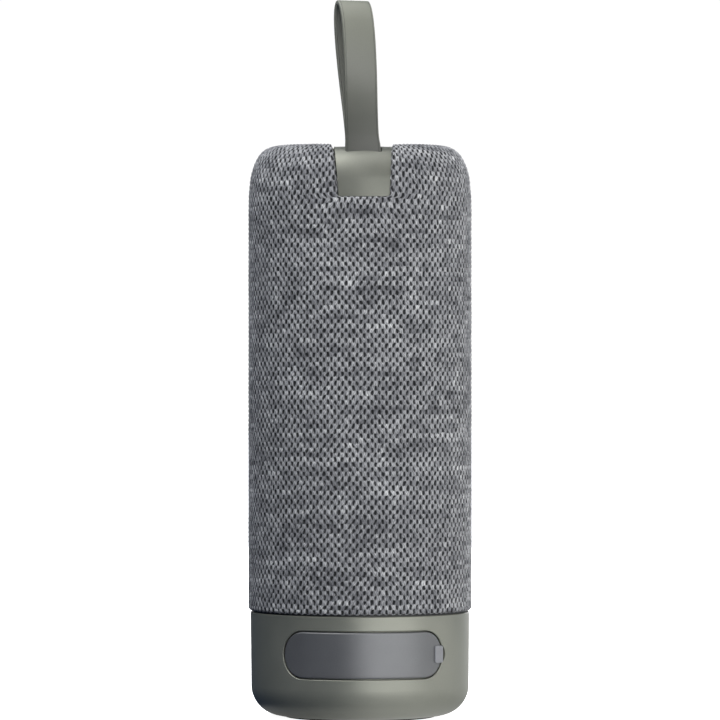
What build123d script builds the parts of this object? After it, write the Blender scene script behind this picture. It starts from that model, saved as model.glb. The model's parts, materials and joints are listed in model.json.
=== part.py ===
from build123d import *
from math import sin, cos, tan, radians, degrees, atan2, pi, sqrt
import os

os.makedirs("parts", exist_ok=True)

# An upright cylindrical bluetooth speaker. Millimetres, +Z up, the axis of the
# cylinder is Z, Z = 0 is the plane the rubber foot stands on and -Y is the
# side with the port cover, the tongue and the strap.

# ---- driving dimensions --------------------------------------------------
BASE_Z0 = 0.6          # underside of the base, above the foot's lower face
BASE_Z1 = 34.4         # top edge of the base
BASE_R_LOW = 35.64     # radius just above the rounded corner
BASE_R_TOP = 35.87     # radius at the top edge (draft)
BASE_CORNER = 9.7      # radius of the bottom corner
BASE_WALL = 2.4
BASE_FLOOR = 2.6

FOOT_R_IN, FOOT_R_OUT, FOOT_TOP = 20.2, 24.8, 1.3

COVER_R_OUT, COVER_R_IN = 35.8, 33.8   # port cover, wrapped on the base
RECESS_R = 33.5                        # floor of its recess
COVER_Z0, COVER_Z1 = 14.4, 29.3
COVER_HALF_ARC = 45.4                  # degrees each side of -Y
COVER_GAP = 0.35
COVER_HINGE_ARC = -40.5                # the line that the flap bends on
COVER_AXIS_R = 36.1

FABRIC_R, FABRIC_T = 36.5, 1.4
FABRIC_Z0 = 35.0
SHOULDER_Z = 165.0     # the sleeve starts to curve in here
CREST_R, CREST_Z = 27.6, 186.75
SHELL_T = 1.6

NOTCH_TOP_W, NOTCH_BOT_W, NOTCH_Z = 19.4, 16.9, 169.1
TONGUE_INSET = 1.1     # how far the tongue lies under the fabric's surface
TONGUE_T = 2.0
TONGUE_GAP = 0.25

CAP_Z = 185.2          # top face of the cap
CAP_R = 25.6

SLOT_X, SLOT_Y0, SLOT_Y1 = 5.8, -31.2, -27.6
STRAP_W, STRAP_T = 10.7, 1.4
STRAP_X, STRAP_Y = -0.2, -29.4   # where the band leaves the slot
STRAP_AXIS_Z = 186.0
STRAP_LEAN = -0.071    # sideways drift per mm of height
STRAP_TWIST = 16.0 / 44.0  # degrees of twist per mm of height
STRAP_Z_FROM = 184.0

BUTTON_TRAVEL = 0.5
BUTTON_TOP = 185.9
BUTTON_GAP = 0.2

CHASSIS_R, CHASSIS_T = 33.0, 2.0
CHASSIS_Z0, CHASSIS_Z1 = 36.0, 168.5
CHASSIS_PLATE = 2.2
BAFFLE_Y = -21.0
DRIVER_Z = {"lower": 76.0, "upper": 136.0}
PASSIVE_Z = 139.0
DOME_R, DOME_Y = 12.83, -6.37   # the dust cap is a piece of a sphere

BOARD_Z0, BOARD_T = 17.75, 1.6
BOARD_TOP = BOARD_Z0 + BOARD_T
BASE_POSTS = [(21.05, -7.66), (-21.05, -7.66), (15.84, 15.84), (-15.84, 15.84)]
CAP_POSTS = [(0.0, 15.5), (18.62, -10.75), (-18.62, -10.75)]

# Shoulder of the fabric sleeve, as radius and height.
SHOULDER = [
    (36.5, 165.0),
    (36.36, 170.6),
    (36.15, 173.3),
    (35.9, 175.9),
    (35.38, 178.5),
    (34.5, 181.1),
    (33.0, 183.8),
    (31.4, 185.4),
    (29.4, 186.4),
    (27.6, 186.75),
]


def shoulder(inset):
    """The shoulder's points moved inwards along their normals."""
    out = []
    for i, (r, z) in enumerate(SHOULDER):
        if i == 0:
            n = (1.0, 0.0)
        elif i == len(SHOULDER) - 1:
            n = (0.0, 1.0)
        else:
            dr = SHOULDER[i + 1][0] - SHOULDER[i - 1][0]
            dz = SHOULDER[i + 1][1] - SHOULDER[i - 1][1]
            k = sqrt(dr * dr + dz * dz)
            n = (dz / k, -dr / k)
        out.append((r - n[0] * inset, z - n[1] * inset))
    return out


def save(builder, name):
    builder.part.label = name
    export_step(builder.part, "parts/" + name + ".step")


def around(deg):
    """Unit direction in plan at an angle from -Y, towards +X."""
    return (sin(radians(deg)), -cos(radians(deg)))


def wrapped_stadium(r_in, r_out, z0, z1, half_arc):
    """A stadium wrapped on the cylinder, between two radii, its ends rounded
    by cylinders whose axes are radial."""
    h = (z1 - z0) / 2
    zc = (z0 + z1) / 2
    straight = half_arc - h / COVER_R_OUT * 180 / pi
    with BuildPart() as tool:
        with BuildSketch(Plane.XZ):
            with Locations(((r_in + r_out) / 2, zc)):
                Rectangle(r_out - r_in, z1 - z0)
        revolve(axis=Axis.Z, revolution_arc=2 * straight)
    # bring the middle of the arc to -Y
    mid = tool.part.center()
    ring = tool.part.rotate(Axis.Z, -90 - degrees(atan2(mid.Y, mid.X)))
    with BuildPart() as ends:
        for s in (-1, 1):
            d = around(s * straight)
            with Locations(Plane(origin=(0, 0, zc), z_dir=(d[0], d[1], 0))):
                Cylinder(h, r_out + 5, align=(Align.CENTER, Align.CENTER, Align.MIN))
        with BuildSketch(Plane.XY.offset(z0 - 1)):
            Circle(r_out)
            Circle(r_in, mode=Mode.SUBTRACT)
        extrude(amount=z1 - z0 + 2, mode=Mode.INTERSECT)
    with BuildPart() as whole:
        add(ring)
        add(ends.part)
    return whole.part


def sector(r_in, r_out, z0, z1, a0, a1):
    """A block of the wall between two radii, two heights and two angles from -Y."""
    with BuildPart() as tool:
        with BuildSketch(Plane.XY.offset(z0)):
            with BuildLine():
                steps = 6
                arc = [a0 + (a1 - a0) * k / steps for k in range(steps + 1)]
                k_out = r_out / cos(radians((a1 - a0) / steps / 2))
                pts = [(0, 0)] + [tuple(c * (k_out + 4) for c in around(a)) for a in arc]
                Polyline(*pts, close=True)
            make_face()
            Circle(r_out, mode=Mode.INTERSECT)
            Circle(r_in, mode=Mode.SUBTRACT)
        extrude(amount=z1 - z0)
    return tool.part


def notch_prism(grow, y0=-42.0, y1=-23.5, z_top=190.0):
    """The notch's outline seen from the front, run back through the shoulder."""
    w0, w1 = NOTCH_BOT_W / 2 + grow, NOTCH_TOP_W / 2 + grow
    z0 = NOTCH_Z - grow
    slope = (w1 - w0) / (185.4 - NOTCH_Z)
    wt = w0 + slope * (z_top - z0)
    with BuildPart() as tool:
        with BuildSketch(Plane.XZ.offset(-y1)):
            with BuildLine():
                Polyline((-w0, z0), (w0, z0), (wt, z_top), (-wt, z_top), close=True)
            make_face()
            pts = [v for v in vertices() if abs(v.Z - z0) < 0.01]
            fillet(pts, 1.3)
        extrude(amount=y1 - y0)
    return tool.part


# ======================= base =============================================
base_inner_r = BASE_R_TOP - BASE_WALL

recess = wrapped_stadium(
    RECESS_R, 40.0, COVER_Z0 - COVER_GAP, COVER_Z1 + COVER_GAP,
    COVER_HALF_ARC + COVER_GAP / COVER_R_OUT * 180 / pi,
)
with BuildPart() as pocket_tool:
    _d = around(42.4)
    with Locations(Plane(origin=(34.7 * _d[0], 34.7 * _d[1], (COVER_Z0 + COVER_Z1) / 2), z_dir=(_d[0], _d[1], 0))):
        Cylinder(3.5, 6.0, align=(Align.CENTER, Align.CENTER, Align.MIN))
finger_pocket = pocket_tool.part
pad_block = sector(31.7, 34.6, 12.2, 31.4, -52.0, 52.0)

USB_Z, JACK_Z, CARD_Z = BOARD_TOP + 1.63, BOARD_TOP + 2.5, BOARD_TOP + 0.8
JACK_X, CARD_X = -13.0, 12.4

with BuildPart() as port_openings:
    with BuildSketch(Plane.XZ.offset(24.0)):
        with Locations((0, USB_Z)):
            SlotOverall(9.34, 3.66)
        with Locations((JACK_X, JACK_Z)):
            Circle(3.15)
        with Locations((CARD_X, CARD_Z)):
            Rectangle(11.8, 1.7)
    extrude(amount=14)

with BuildPart() as base_housing:
    with BuildSketch(Plane.XZ):
        with BuildLine():
            l1 = Line((0, BASE_Z0), (BASE_R_LOW - BASE_CORNER, BASE_Z0))
            RadiusArc(l1 @ 1, (BASE_R_LOW, BASE_Z0 + BASE_CORNER), -BASE_CORNER)
            Polyline(
                (BASE_R_LOW, BASE_Z0 + BASE_CORNER),
                (BASE_R_TOP, BASE_Z1 - 0.25),
                (BASE_R_TOP - 0.25, BASE_Z1),
                (base_inner_r, BASE_Z1),
                (BASE_R_LOW - BASE_WALL, BASE_Z0 + BASE_CORNER),
            )
            RadiusArc(
                (BASE_R_LOW - BASE_WALL, BASE_Z0 + BASE_CORNER),
                (BASE_R_LOW - BASE_CORNER, BASE_Z0 + BASE_FLOOR),
                BASE_CORNER - (BASE_WALL + BASE_FLOOR) / 2,
            )
            Polyline(
                (BASE_R_LOW - BASE_CORNER, BASE_Z0 + BASE_FLOOR),
                (0, BASE_Z0 + BASE_FLOOR),
                (0, BASE_Z0),
            )
        make_face()
    revolve(axis=Axis.Z)
    # thicker wall behind the port recess
    add(pad_block)
    # screw posts, with a shoulder that carries the main board
    with BuildSketch(Plane.XY.offset(BASE_Z0 + BASE_FLOOR - 0.2)):
        with Locations(*BASE_POSTS):
            Circle(4.4)
    extrude(amount=BOARD_Z0 - (BASE_Z0 + BASE_FLOOR - 0.2))
    with BuildSketch(Plane.XY.offset(BOARD_Z0 - 0.2)):
        with Locations(*BASE_POSTS):
            Circle(3.3)
    extrude(amount=CHASSIS_Z0 - BOARD_Z0 + 0.2)
    with BuildSketch(Plane.XY.offset(0)):
        with Locations(*BASE_POSTS):
            Circle(2.25)
    extrude(amount=22.0, mode=Mode.SUBTRACT)
    with BuildSketch(Plane.XY.offset(0)):
        with Locations(*BASE_POSTS):
            Circle(1.35)
    extrude(amount=CHASSIS_Z0 + 1, mode=Mode.SUBTRACT)
    # groove for the rubber foot
    with BuildSketch(Plane.XY.offset(0)):
        Circle(FOOT_R_OUT + 0.1)
        Circle(FOOT_R_IN - 0.1, mode=Mode.SUBTRACT)
    extrude(amount=FOOT_TOP, mode=Mode.SUBTRACT)
    # port openings, the recess they open into and the finger pocket beside it
    add(port_openings.part, mode=Mode.SUBTRACT)
    add(recess, mode=Mode.SUBTRACT)
    # soften the rim of the recess
    rim = [
        e for e in base_housing.edges()
        if COVER_Z0 - 0.7 < e.center().Z < COVER_Z1 + 0.5 and e.center().Y < 0
        and 35.3 < sqrt(e.center().X ** 2 + e.center().Y ** 2) < 36.2
    ]
    fillet(rim, 0.3)
    add(finger_pocket, mode=Mode.SUBTRACT)
save(base_housing, "base_housing")

with BuildPart() as foot_ring:
    with BuildSketch(Plane.XY):
        Circle(FOOT_R_OUT)
        Circle(FOOT_R_IN, mode=Mode.SUBTRACT)
    extrude(amount=FOOT_TOP)
    fillet(foot_ring.edges().group_by(Axis.Z)[0], 0.35)
save(foot_ring, "foot_ring")

with BuildPart() as base_screws:
    with BuildSketch(Plane.XY.offset(20.1)):
        with Locations(*BASE_POSTS):
            Circle(2.1)
    extrude(amount=1.9)
    with BuildSketch(Plane.XY.offset(21.9)):
        with Locations(*BASE_POSTS):
            Circle(1.2)
    extrude(amount=18.6)
    with BuildSketch(Plane.XY.offset(20.1)):
        with Locations(*BASE_POSTS):
            RegularPolygon(1.1, 6)
    extrude(amount=1.0, mode=Mode.SUBTRACT)
save(base_screws, "base_screws")

# The rubber cover: a root that stays in the base, and a flap that bends out
# on a vertical line beside it.
cover_blank = wrapped_stadium(COVER_R_IN, COVER_R_OUT, COVER_Z0, COVER_Z1, COVER_HALF_ARC)
root_side = sector(20.0, 40.0, 0.0, 40.0, COVER_HINGE_ARC - 30, COVER_HINGE_ARC - 0.2)
flap_side = sector(20.0, 40.0, 0.0, 40.0, COVER_HINGE_ARC + 0.2, 60.0)
tab_block = sector(COVER_R_IN + 0.3, COVER_R_OUT + 0.55, 19.3, 24.6, 39.9, 45.2)

with BuildPart() as port_cover_root:
    add(cover_blank)
    add(root_side, mode=Mode.INTERSECT)
save(port_cover_root, "port_cover_root")

with BuildPart() as port_cover:
    add(cover_blank)
    add(flap_side, mode=Mode.INTERSECT)
    add(tab_block)
save(port_cover, "port_cover")

with BuildPart() as main_board:
    with BuildSketch(Plane.XY.offset(BOARD_Z0)):
        Circle(31.0)
        with Locations((0, -37)):
            Rectangle(80, 20, mode=Mode.SUBTRACT)
        with Locations(*BASE_POSTS):
            Circle(3.5, mode=Mode.SUBTRACT)
    extrude(amount=BOARD_T)
save(main_board, "main_board")

with BuildPart() as usb_c_port:
    with BuildSketch(Plane.XZ.offset(25.5)):
        with Locations((0, USB_Z)):
            SlotOverall(8.94, 3.26)
    extrude(amount=7.4)
    with BuildSketch(Plane.XZ.offset(26.5)):
        with Locations((0, USB_Z)):
            SlotOverall(8.34, 2.66)
            Rectangle(6.6, 0.7, mode=Mode.SUBTRACT)
    extrude(amount=7.0, mode=Mode.SUBTRACT)
save(usb_c_port, "usb_c_port")

with BuildPart() as aux_jack:
    with BuildSketch(Plane.XZ.offset(16.0)):
        with Locations((JACK_X, JACK_Z)):
            Rectangle(6.2, 5.0)
    extrude(amount=11.0)
    with BuildSketch(Plane.XZ.offset(27.0)):
        with Locations((JACK_X, JACK_Z)):
            Circle(2.9)
    extrude(amount=2.4)
    with BuildSketch(Plane.XZ.offset(16.6)):
        with Locations((JACK_X, JACK_Z)):
            Circle(1.8)
    extrude(amount=16.0, mode=Mode.SUBTRACT)
save(aux_jack, "aux_jack")

with BuildPart() as card_slot:
    with BuildSketch(Plane.XZ.offset(11.3)):
        with Locations((CARD_X, BOARD_TOP + 0.85)):
            Rectangle(13.0, 1.7)
    extrude(amount=14.0)
    with BuildSketch(Plane.XZ.offset(12.0)):
        with Locations((CARD_X, CARD_Z)):
            Rectangle(11.2, 0.9)
    extrude(amount=16.0, mode=Mode.SUBTRACT)
save(card_slot, "card_slot")

with BuildPart() as amplifier_chip:
    with BuildSketch(Plane.XY.offset(BOARD_TOP)):
        with Locations((7.6, -3.0)):
            RectangleRounded(9.0, 9.0, 0.3)
    extrude(amount=1.2)
    chamfer(amplifier_chip.edges().group_by(Axis.Z)[-1], 0.2)
save(amplifier_chip, "amplifier_chip")

with BuildPart() as bluetooth_module:
    with BuildSketch(Plane.XY.offset(BOARD_TOP)):
        with Locations((-6.0, -3.0)):
            Rectangle(13.0, 16.0)
    extrude(amount=0.8)
    with BuildSketch(Plane.XY.offset(BOARD_TOP + 0.8)):
        with Locations((-6.0, -1.0)):
            RectangleRounded(11.4, 11.0, 0.6)
    extrude(amount=1.6)
save(bluetooth_module, "bluetooth_module")

with BuildPart() as board_capacitors:
    with BuildSketch(Plane.XY.offset(BOARD_TOP)):
        with Locations((8.0, 22.5), (0.0, 24.0), (-8.0, 22.5)):
            Circle(3.15)
    extrude(amount=7.7)
    fillet(board_capacitors.edges().group_by(Axis.Z)[-1], 0.4)
save(board_capacitors, "board_capacitors")

with BuildPart() as wire_connectors:
    with BuildSketch(Plane.XY.offset(BOARD_TOP)):
        with Locations((-15.2, 4.5), (0.0, 9.2), (15.4, 5.5)):
            Rectangle(5.0, 8.4)
    extrude(amount=3.6)
    with BuildSketch(Plane.XY.offset(BOARD_TOP + 1.0)):
        with Locations((-15.2, 4.5), (0.0, 9.2), (15.4, 5.5)):
            Rectangle(3.2, 6.6)
    extrude(amount=4.0, mode=Mode.SUBTRACT)
save(wire_connectors, "wire_connectors")

# ======================= sleeve and grille shell ===========================
with BuildPart() as fabric_sleeve:
    with BuildSketch(Plane.XZ):
        with BuildLine():
            Polyline(
                (FABRIC_R - FABRIC_T, FABRIC_Z0),
                (FABRIC_R - 0.75, FABRIC_Z0),
                (FABRIC_R - 0.22, FABRIC_Z0 + 0.35),
                (FABRIC_R, FABRIC_Z0 + 1.1),
                (FABRIC_R, SHOULDER_Z),
            )
            Spline(*shoulder(0), tangents=[(0, 1), (-1, 0)])
            RadiusArc((CREST_R, CREST_Z), (25.8, 184.95), -1.8)
            Polyline((25.8, 184.95), (25.8, 183.9), (27.2, 183.9), (27.2, 184.95))
            RadiusArc((27.2, 184.95), (CREST_R, CREST_Z - FABRIC_T), 0.4)
            Spline(*reversed(shoulder(FABRIC_T)), tangents=[(1, 0), (0, -1)])
            Line((FABRIC_R - FABRIC_T, SHOULDER_Z), (FABRIC_R - FABRIC_T, FABRIC_Z0))
        make_face()
    revolve(axis=Axis.Z)
    add(notch_prism(0.0), mode=Mode.SUBTRACT)
save(fabric_sleeve, "fabric_sleeve")

SHELL_IN = FABRIC_T + 0.05
with BuildPart() as grille_shell:
    with BuildSketch(Plane.XZ):
        with BuildLine():
            Polyline(
                (33.45, BASE_Z1),
                (34.6, BASE_Z1),
                (34.6, FABRIC_Z0 + 0.1),
                (FABRIC_R - SHELL_IN, FABRIC_Z0 + 0.1),
                (FABRIC_R - SHELL_IN, SHOULDER_Z),
            )
            Spline(*shoulder(SHELL_IN), tangents=[(0, 1), (-1, 0)])
            Polyline(
                (CREST_R, CREST_Z - SHELL_IN),
                (CREST_R - 0.35, CREST_Z - SHELL_IN - 0.35),
                (CREST_R - 0.35, 183.0),
                (CREST_R, CREST_Z - SHELL_IN - SHELL_T),
            )
            Spline(*reversed(shoulder(SHELL_IN + SHELL_T)), tangents=[(1, 0), (0, -1)])
            Line((FABRIC_R - SHELL_IN - SHELL_T, SHOULDER_Z), (33.45, BASE_Z1))
        make_face()
    revolve(axis=Axis.Z)
    add(notch_prism(0.35), mode=Mode.SUBTRACT)
    # sound slots in front of the drivers and the passive radiator
    places = []
    for row in range(9):
        for ang in (-36, -24, -12, 0, 12, 24, 36):
            d = around(ang)
            places.append((d[0], d[1], 54.0 + 13.0 * row))
            if row >= 5:
                places.append((-d[0], -d[1], 54.0 + 13.0 * row))
    with Locations(*[Plane(origin=(x * 34.2, y * 34.2, z), z_dir=(x, y, 0), x_dir=(0, 0, 1)) for x, y, z in places]):
        Box(9.0, 2.6, 6.0, mode=Mode.SUBTRACT)
save(grille_shell, "grille_shell")

# ======================= chassis ===========================================
PLATE_Z = (CHASSIS_Z0 + CHASSIS_PLATE, CHASSIS_Z1 - CHASSIS_PLATE)
SEAM_SCREWS = [(28.4, 42.5), (-28.4, 42.5), (28.4, 106.0), (-28.4, 106.0), (28.4, 162.0), (-28.4, 162.0)]

with BuildPart() as front_air:
    with BuildSketch(Plane.XY.offset(PLATE_Z[0])):
        Circle(CHASSIS_R - CHASSIS_T)
    extrude(amount=PLATE_Z[1] - PLATE_Z[0])
    with Locations((0, BAFFLE_Y + CHASSIS_T - 20, 106)):
        Box(80, 40, 120, mode=Mode.SUBTRACT)

with BuildPart() as front_chassis:
    with BuildSketch(Plane.XY.offset(CHASSIS_Z0)):
        Circle(CHASSIS_R)
    extrude(amount=CHASSIS_Z1 - CHASSIS_Z0)
    with Locations((0, BAFFLE_Y - 20, 106)):
        Box(80, 40, 116, mode=Mode.SUBTRACT)
    add(front_air.part, mode=Mode.SUBTRACT)
    with BuildSketch(Plane.XY.offset(CHASSIS_Z0)):
        with Locations(*BASE_POSTS):
            Circle(3.3)
    extrude(amount=5.0)
    with BuildSketch(Plane.XZ.offset(0)):
        with Locations(*SEAM_SCREWS):
            Circle(2.4)
    extrude(amount=9.0)
    with BuildSketch(Plane.XY.offset(CHASSIS_Z0 - 1)):
        with Locations(*BASE_POSTS):
            Circle(1.25)
    extrude(amount=5.6, mode=Mode.SUBTRACT)
    with BuildSketch(Plane.XZ.offset(-1)):
        with Locations(*SEAM_SCREWS):
            Circle(1.05)
    extrude(amount=8.5, mode=Mode.SUBTRACT)
    with BuildSketch(Plane.XZ.offset(15)):
        with Locations((0, DRIVER_Z["lower"]), (0, DRIVER_Z["upper"])):
            Circle(20.4)
            with PolarLocations(22.0, 4, start_angle=45):
                Circle(0.7)
    extrude(amount=10, mode=Mode.SUBTRACT)
    with BuildSketch(Plane.XY.offset(CHASSIS_Z1 - 3)):
        with Locations(*CAP_POSTS):
            Circle(1.3)
    extrude(amount=5, mode=Mode.SUBTRACT)
    with Locations((0, 50 - 0.2, 100)):
        Box(200, 100, 300, mode=Mode.SUBTRACT)
save(front_chassis, "front_chassis")

with BuildPart() as rear_air:
    with BuildSketch(Plane.XY.offset(PLATE_Z[0])):
        Circle(CHASSIS_R - CHASSIS_T)
    extrude(amount=PLATE_Z[1] - PLATE_Z[0])
    with Locations((0, -(BAFFLE_Y + CHASSIS_T) + 20, PASSIVE_Z)):
        Box(80, 40, 58, mode=Mode.SUBTRACT)

with BuildPart() as rear_chassis:
    with BuildSketch(Plane.XY.offset(CHASSIS_Z0)):
        Circle(CHASSIS_R)
    extrude(amount=CHASSIS_Z1 - CHASSIS_Z0)
    with Locations((0, -BAFFLE_Y + 20, PASSIVE_Z)):
        Box(80, 40, 54, mode=Mode.SUBTRACT)
    add(rear_air.part, mode=Mode.SUBTRACT)
    with BuildSketch(Plane.XY.offset(CHASSIS_Z0)):
        with Locations(*BASE_POSTS):
            Circle(3.3)
    extrude(amount=5.0)
    with BuildSketch(Plane.XZ.offset(-8)):
        with Locations(*SEAM_SCREWS):
            Circle(2.9)
    extrude(amount=8)
    with BuildSketch(Plane.XY.offset(CHASSIS_Z0 - 1)):
        with Locations(*BASE_POSTS):
            Circle(1.25)
        with Locations((-22.5, 3.0), (-22.5, 6.0)):
            Circle(1.0)
        with Locations((0.0, 5.0)):
            Circle(1.3)
        with Locations((22.5, 5.5)):
            Rectangle(1.0, 8.6)
    extrude(amount=4.0, mode=Mode.SUBTRACT)
    with BuildSketch(Plane.XY.offset(CHASSIS_Z0 + 2)):
        with Locations(*BASE_POSTS):
            Circle(1.25)
    extrude(amount=2.6, mode=Mode.SUBTRACT)
    with BuildSketch(Plane.XZ.offset(-10)):
        with Locations(*SEAM_SCREWS):
            Circle(1.25)
    extrude(amount=12, mode=Mode.SUBTRACT)
    with BuildSketch(Plane.XZ.offset(-40)):
        with Locations(*SEAM_SCREWS):
            Circle(2.2)
    extrude(amount=36, mode=Mode.SUBTRACT)
    with BuildSketch(Plane.XZ.offset(-25)):
        with Locations((0, PASSIVE_Z)):
            Circle(20.4)
    extrude(amount=10, mode=Mode.SUBTRACT)
    with BuildSketch(Plane.XY.offset(CHASSIS_Z1 - 3)):
        with Locations(*CAP_POSTS):
            Circle(1.3)
        with Locations((22.5, 5.5)):
            Rectangle(1.0, 8.6)
    extrude(amount=5, mode=Mode.SUBTRACT)
    with Locations((0, -50 + 0.2, 100)):
        Box(200, 100, 300, mode=Mode.SUBTRACT)
save(rear_chassis, "rear_chassis")

with BuildPart() as chassis_seal:
    with BuildSketch(Plane.XZ.offset(-0.2)):
        with Locations((0, (CHASSIS_Z0 + CHASSIS_Z1) / 2)):
            Rectangle(2 * CHASSIS_R, CHASSIS_Z1 - CHASSIS_Z0)
            Rectangle(2 * (CHASSIS_R - CHASSIS_T), PLATE_Z[1] - PLATE_Z[0], mode=Mode.SUBTRACT)
    extrude(amount=0.4)
save(chassis_seal, "chassis_seal")

with BuildPart() as chassis_screws:
    with BuildSketch(Plane.XZ.offset(-5.6)):
        with Locations(*SEAM_SCREWS):
            Circle(1.9)
    extrude(amount=1.6)
    with BuildSketch(Plane.XZ.offset(-4.1)):
        with Locations(*SEAM_SCREWS):
            Circle(1.0)
    extrude(amount=10.6)
    with BuildSketch(Plane.XZ.offset(-5.6)):
        with Locations(*SEAM_SCREWS):
            RegularPolygon(0.9, 6)
    extrude(amount=0.8, mode=Mode.SUBTRACT)
save(chassis_screws, "chassis_screws")

# ======================= battery and wiring ================================
CELLS = [(9.8, 16.0), (-9.8, 16.0)]
with BuildPart() as battery_cells:
    with BuildSketch(Plane.XY.offset(42.0)):
        with Locations(*CELLS):
            Circle(9.2)
    extrude(amount=64.0)
    fillet(battery_cells.edges().filter_by(GeomType.CIRCLE), 0.8)
    with BuildSketch(Plane.XY.offset(106.0)):
        with Locations(*CELLS):
            Circle(3.0)
    extrude(amount=1.0)
save(battery_cells, "battery_cells")

with BuildPart() as battery_holder:
    with BuildSketch(Plane.XY.offset(42.0)):
        with Locations((0, 22.0)):
            Rectangle(40.0, 12.0)
        Circle(30.7, mode=Mode.INTERSECT)
        with Locations(*CELLS):
            Circle(9.3, mode=Mode.SUBTRACT)
    extrude(amount=62.0)
save(battery_holder, "battery_holder")


def bend_radii(points):
    """The largest tangent arc that the two runs at each corner leave room for."""
    out = []
    vs = [Vector(*p) for p in points]
    for a, b, c in zip(vs, vs[1:], vs[2:]):
        turn = radians((b - a).get_angle(c - b))
        out.append(0.45 * min((b - a).length, (c - b).length) / tan(turn / 2))
    return out


LOWER_LEAD = [(-15.2, 3.0, 22.6), (-17.6, 3.0, 27.6), (-22.5, 3.0, 32.0), (-22.5, 3.0, 60.0), (-20.6, -3.0, 68.0), (-17.2, -9.4, 70.5)]
UPPER_LEAD = [(-15.2, 6.2, 22.6), (-17.8, 6.2, 27.9), (-22.5, 6.0, 32.2), (-22.5, 6.0, 120.0), (-20.8, -2.0, 128.0), (-17.2, -9.4, 130.5)]
BATTERY_LEAD = [(0.0, 9.0, 22.4), (0.0, 7.6, 27.2), (0.0, 5.0, 32.0), (0.0, 5.0, 48.0), (2.2, 5.6, 54.5)]

with BuildPart() as driver_leads:
    for route in (LOWER_LEAD, UPPER_LEAD):
        with BuildLine() as run:
            FilletPolyline(*route, radius=bend_radii(route))
        with BuildSketch(Plane(origin=run.line @ 0, z_dir=run.line % 0)):
            Circle(0.8)
        sweep(path=run.line)
save(driver_leads, "driver_leads")

with BuildPart() as battery_lead:
    with BuildLine() as run:
        FilletPolyline(*BATTERY_LEAD, radius=bend_radii(BATTERY_LEAD))
    with BuildSketch(Plane(origin=run.line @ 0, z_dir=run.line % 0)):
        Circle(1.1)
    sweep(path=run.line)
save(battery_lead, "battery_lead")

with BuildPart() as control_ribbon:
    with BuildSketch(Plane.XZ.offset(-9.5)):
        with BuildLine() as run:
            FilletPolyline((16.0, 23.0), (18.6, 26.8), (22.5, 31.0), (22.5, 170.2), (19.6, 174.0), radius=[4.0, 6.0, 3.0])
        trace(line_width=0.3)
    extrude(amount=8.0)
save(control_ribbon, "control_ribbon")


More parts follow.
